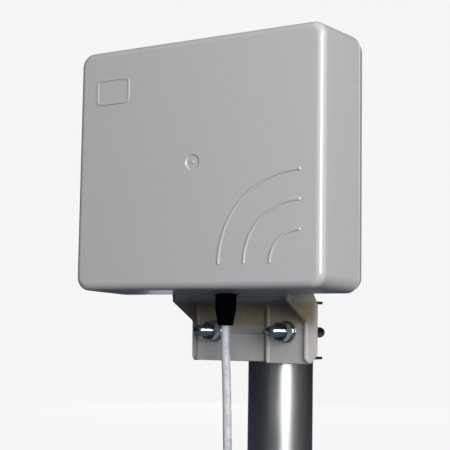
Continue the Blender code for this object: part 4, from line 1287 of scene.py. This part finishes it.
def floor_material():
    """Glows pale to the camera, and is a dim surface to every other ray."""
    look = Look("pale_floor", (0.9, 0.9, 0.9), 0.9, specular=0.1)
    look.mottle((0.86, 0.86, 0.86), 0.2, (0.4, 0.7), scale=3, detail=3)
    rays = look.add("LightPath")
    glow = look.add("Emission", {"Color": (0.925, 0.925, 0.93, 1), "Strength": 1.012})
    dim = look.add("BsdfDiffuse", {"Color": (0.084, 0.098, 0.128, 1)})
    seen = look.add("MixShader", {0: 0.02, 1: glow.outputs[0], 2: look.bsdf.outputs[0]})
    either = look.add("MixShader", {
        0: rays.outputs["Is Camera Ray"], 1: dim.outputs[0], 2: seen.outputs[0]})
    look.feed(look.out.inputs[0], either.outputs[0])
    return look.material


def build_floor():
    """A pale floor that turns up into a pale wall a long way behind."""
    floor_z = CAD_BOX[0].z - 0.004
    front_y, bend_y, bend_r, half_w, top_z = -6.0, 7.0, 1.5, 9.0, 8.0
    profile = [(front_y, floor_z), (bend_y, floor_z)]
    profile += [(bend_y + bend_r * sin(angle), floor_z + bend_r * (1 - cos(angle)))
                for angle in quarter(12)[1:]]
    profile.append((bend_y + bend_r, top_z))
    bm = bmesh.new()
    rows = [[bm.verts.new((x, y, z)) for x in (-half_w, half_w)] for y, z in profile]
    for one, two in zip(rows, rows[1:]):
        bm.faces.new((one[0], one[1], two[1], two[0]))
    floor = to_object("floor", bm)
    floor.data.shade_smooth()
    floor.data.materials.append(floor_material())


# the room by compass direction: (degrees, colour), with 0 in front (-Y) and 90 on the right (+X).
# Dark on the left, grey in front, warm behind on the right.
ROOM = [
    (-180, (0.08, 0.068, 0.055)), (-150, (0.012, 0.014, 0.015)), (-70, (0.010, 0.013, 0.014)),
    (-30, (0.03, 0.038, 0.042)), (0, (0.14, 0.17, 0.18)), (40, (0.30, 0.32, 0.33)),
    (78, (0.36, 0.36, 0.35)), (110, (0.17, 0.15, 0.12)), (150, (0.15, 0.12, 0.09)),
    (180, (0.08, 0.068, 0.055)),
]


def build_world():
    """Plain pale to the camera, and the room to every other ray."""
    world = bpy.data.worlds.new("studio")
    scene.world = world
    graph = Graph(world)
    split = graph.add("SeparateXYZ", {0: graph.add("TexCoord").outputs["Generated"]})
    forward = graph.maths("MULTIPLY", split.outputs["Y"], -1.0)
    angle = graph.maths("ARCTAN2", split.outputs["X"], forward)
    around = graph.maths("ADD", graph.maths("DIVIDE", angle, 2 * pi), 0.5)
    ramp = graph.add("ValToRGB", {0: around})
    ramp.color_ramp.interpolation = "EASE"
    elements = ramp.color_ramp.elements
    while len(elements) > 1:
        elements.remove(elements[-1])
    for k, (degrees, colour) in enumerate(ROOM):
        position = (degrees + 180) / 360
        element = elements[0] if k == 0 else elements.new(position)
        element.position = position
        element.color = (*colour, 1)
    # brighter overhead than underfoot
    height = graph.span(split.outputs["Z"], low=-0.35, high=0.7, to_low=0.35, to_high=1.35)
    room = graph.add("Background", {
        "Color": ramp.outputs[0], "Strength": graph.maths("MULTIPLY", height, 1.0)})
    plain = graph.add("Background", {"Color": (0.915, 0.915, 0.92, 1), "Strength": 1.0})
    rays = graph.add("LightPath")
    mix = graph.add("MixShader", {
        0: rays.outputs["Is Camera Ray"], 1: room.outputs[0], 2: plain.outputs[0]})
    graph.add("OutputWorld", {0: mix.outputs[0]})


LIGHT_AIM = Vector((0.0, -0.02, -0.05))
# name, azimuth (0 in front, 90 on the right), elevation, distance, width, height, watts,
# colour, shown in reflections. "behind" lights the back for views from that side.
LIGHTS = [
    ("key", 50.5, 14, 1.5, 0.72, 1.0, 24.3, (1.0, 1.0, 0.998), True),
    ("front_fill", 6, 12, 2.0, 1.2, 0.7, 8.6, (0.985, 0.985, 1.0), False),
    ("right_fill", 80, 30, 2.0, 0.9, 0.5, 9, (1.0, 0.865, 0.69), True),
    ("top", 0, 86, 2.0, 1.4, 1.4, 4, (0.97, 0.99, 1.0), True),
    ("behind", 208, 12, 2.2, 1.6, 1.2, 17, (0.98, 0.99, 1.0), False),
    ("behind_strip", 211.6, 8, 2.2, 0.42, 1.5, 9, (0.98, 0.99, 1.0), True),
]


def build_light(name, azimuth, elevation, distance, width, height, watts, colour, glossy):
    """A soft box aimed at the antenna."""
    turn, rise = radians(azimuth), radians(elevation)
    direction = Vector((sin(turn) * cos(rise), -cos(turn) * cos(rise), sin(rise)))
    data = bpy.data.lights.new(name, "AREA")
    data.shape = "RECTANGLE"
    data.size = width
    data.size_y = height
    data.energy = watts
    data.color = colour
    light = bpy.data.objects.new(name, data)
    scene.collection.objects.link(light)
    light.location = LIGHT_AIM + direction * distance
    light.rotation_mode = "QUATERNION"
    light.rotation_quaternion = (-direction).to_track_quat("-Z", "Y")
    light.visible_camera = False
    light.visible_glossy = glossy


def build_camera():
    """In front, to the right and a little low, looking slightly up."""
    data = bpy.data.cameras.new("camera")
    data.sensor_fit = "HORIZONTAL"
    data.sensor_width = 36.0
    data.lens = 88.38
    data.clip_start = 0.05
    data.clip_end = 60.0
    camera = bpy.data.objects.new("camera", data)
    scene.collection.objects.link(camera)
    right = Vector((0.8526722, 0.52223124, 0.01498846))
    forward = Vector((-0.52105499, 0.84795914, 0.09729844))
    up = Vector((0.03810269, -0.09077348, 0.99514238))
    place = Vector((0.41404, -0.69524, -0.11685))
    camera.matrix_world = Matrix([*zip(right, up, -forward, place), (0, 0, 0, 1)])
    scene.camera = camera
    scene.view_settings.view_transform = "Standard"
    scene.view_settings.look = "None"


# ---------------------------------------------------------------- build

build_radome()
build_rear_cover()
for number, place in enumerate(COVER_SCREWS, 1):
    build_screw("cover", number, place, **COVER_SCREW)
for number, place in enumerate(BRACKET_SCREWS, 1):
    build_screw("bracket", number, place, **BRACKET_SCREW)
build_bracket()
build_u_bolt()
for word, leg_x in (("left", -LEG_X), ("right", LEG_X)):
    build_nut(word, leg_x)
    build_spring_washer(word, leg_x)
    build_flat_washer(word, leg_x)
build_jaw()
build_pole()
build_boot()
build_lead()
build_core()
build_ferrule()
build_plug_body()
build_plug_inside()
build_coupling_nut()
dress_cad_pieces()
build_floor()
build_world()
for light in LIGHTS:
    build_light(*light)
build_camera()
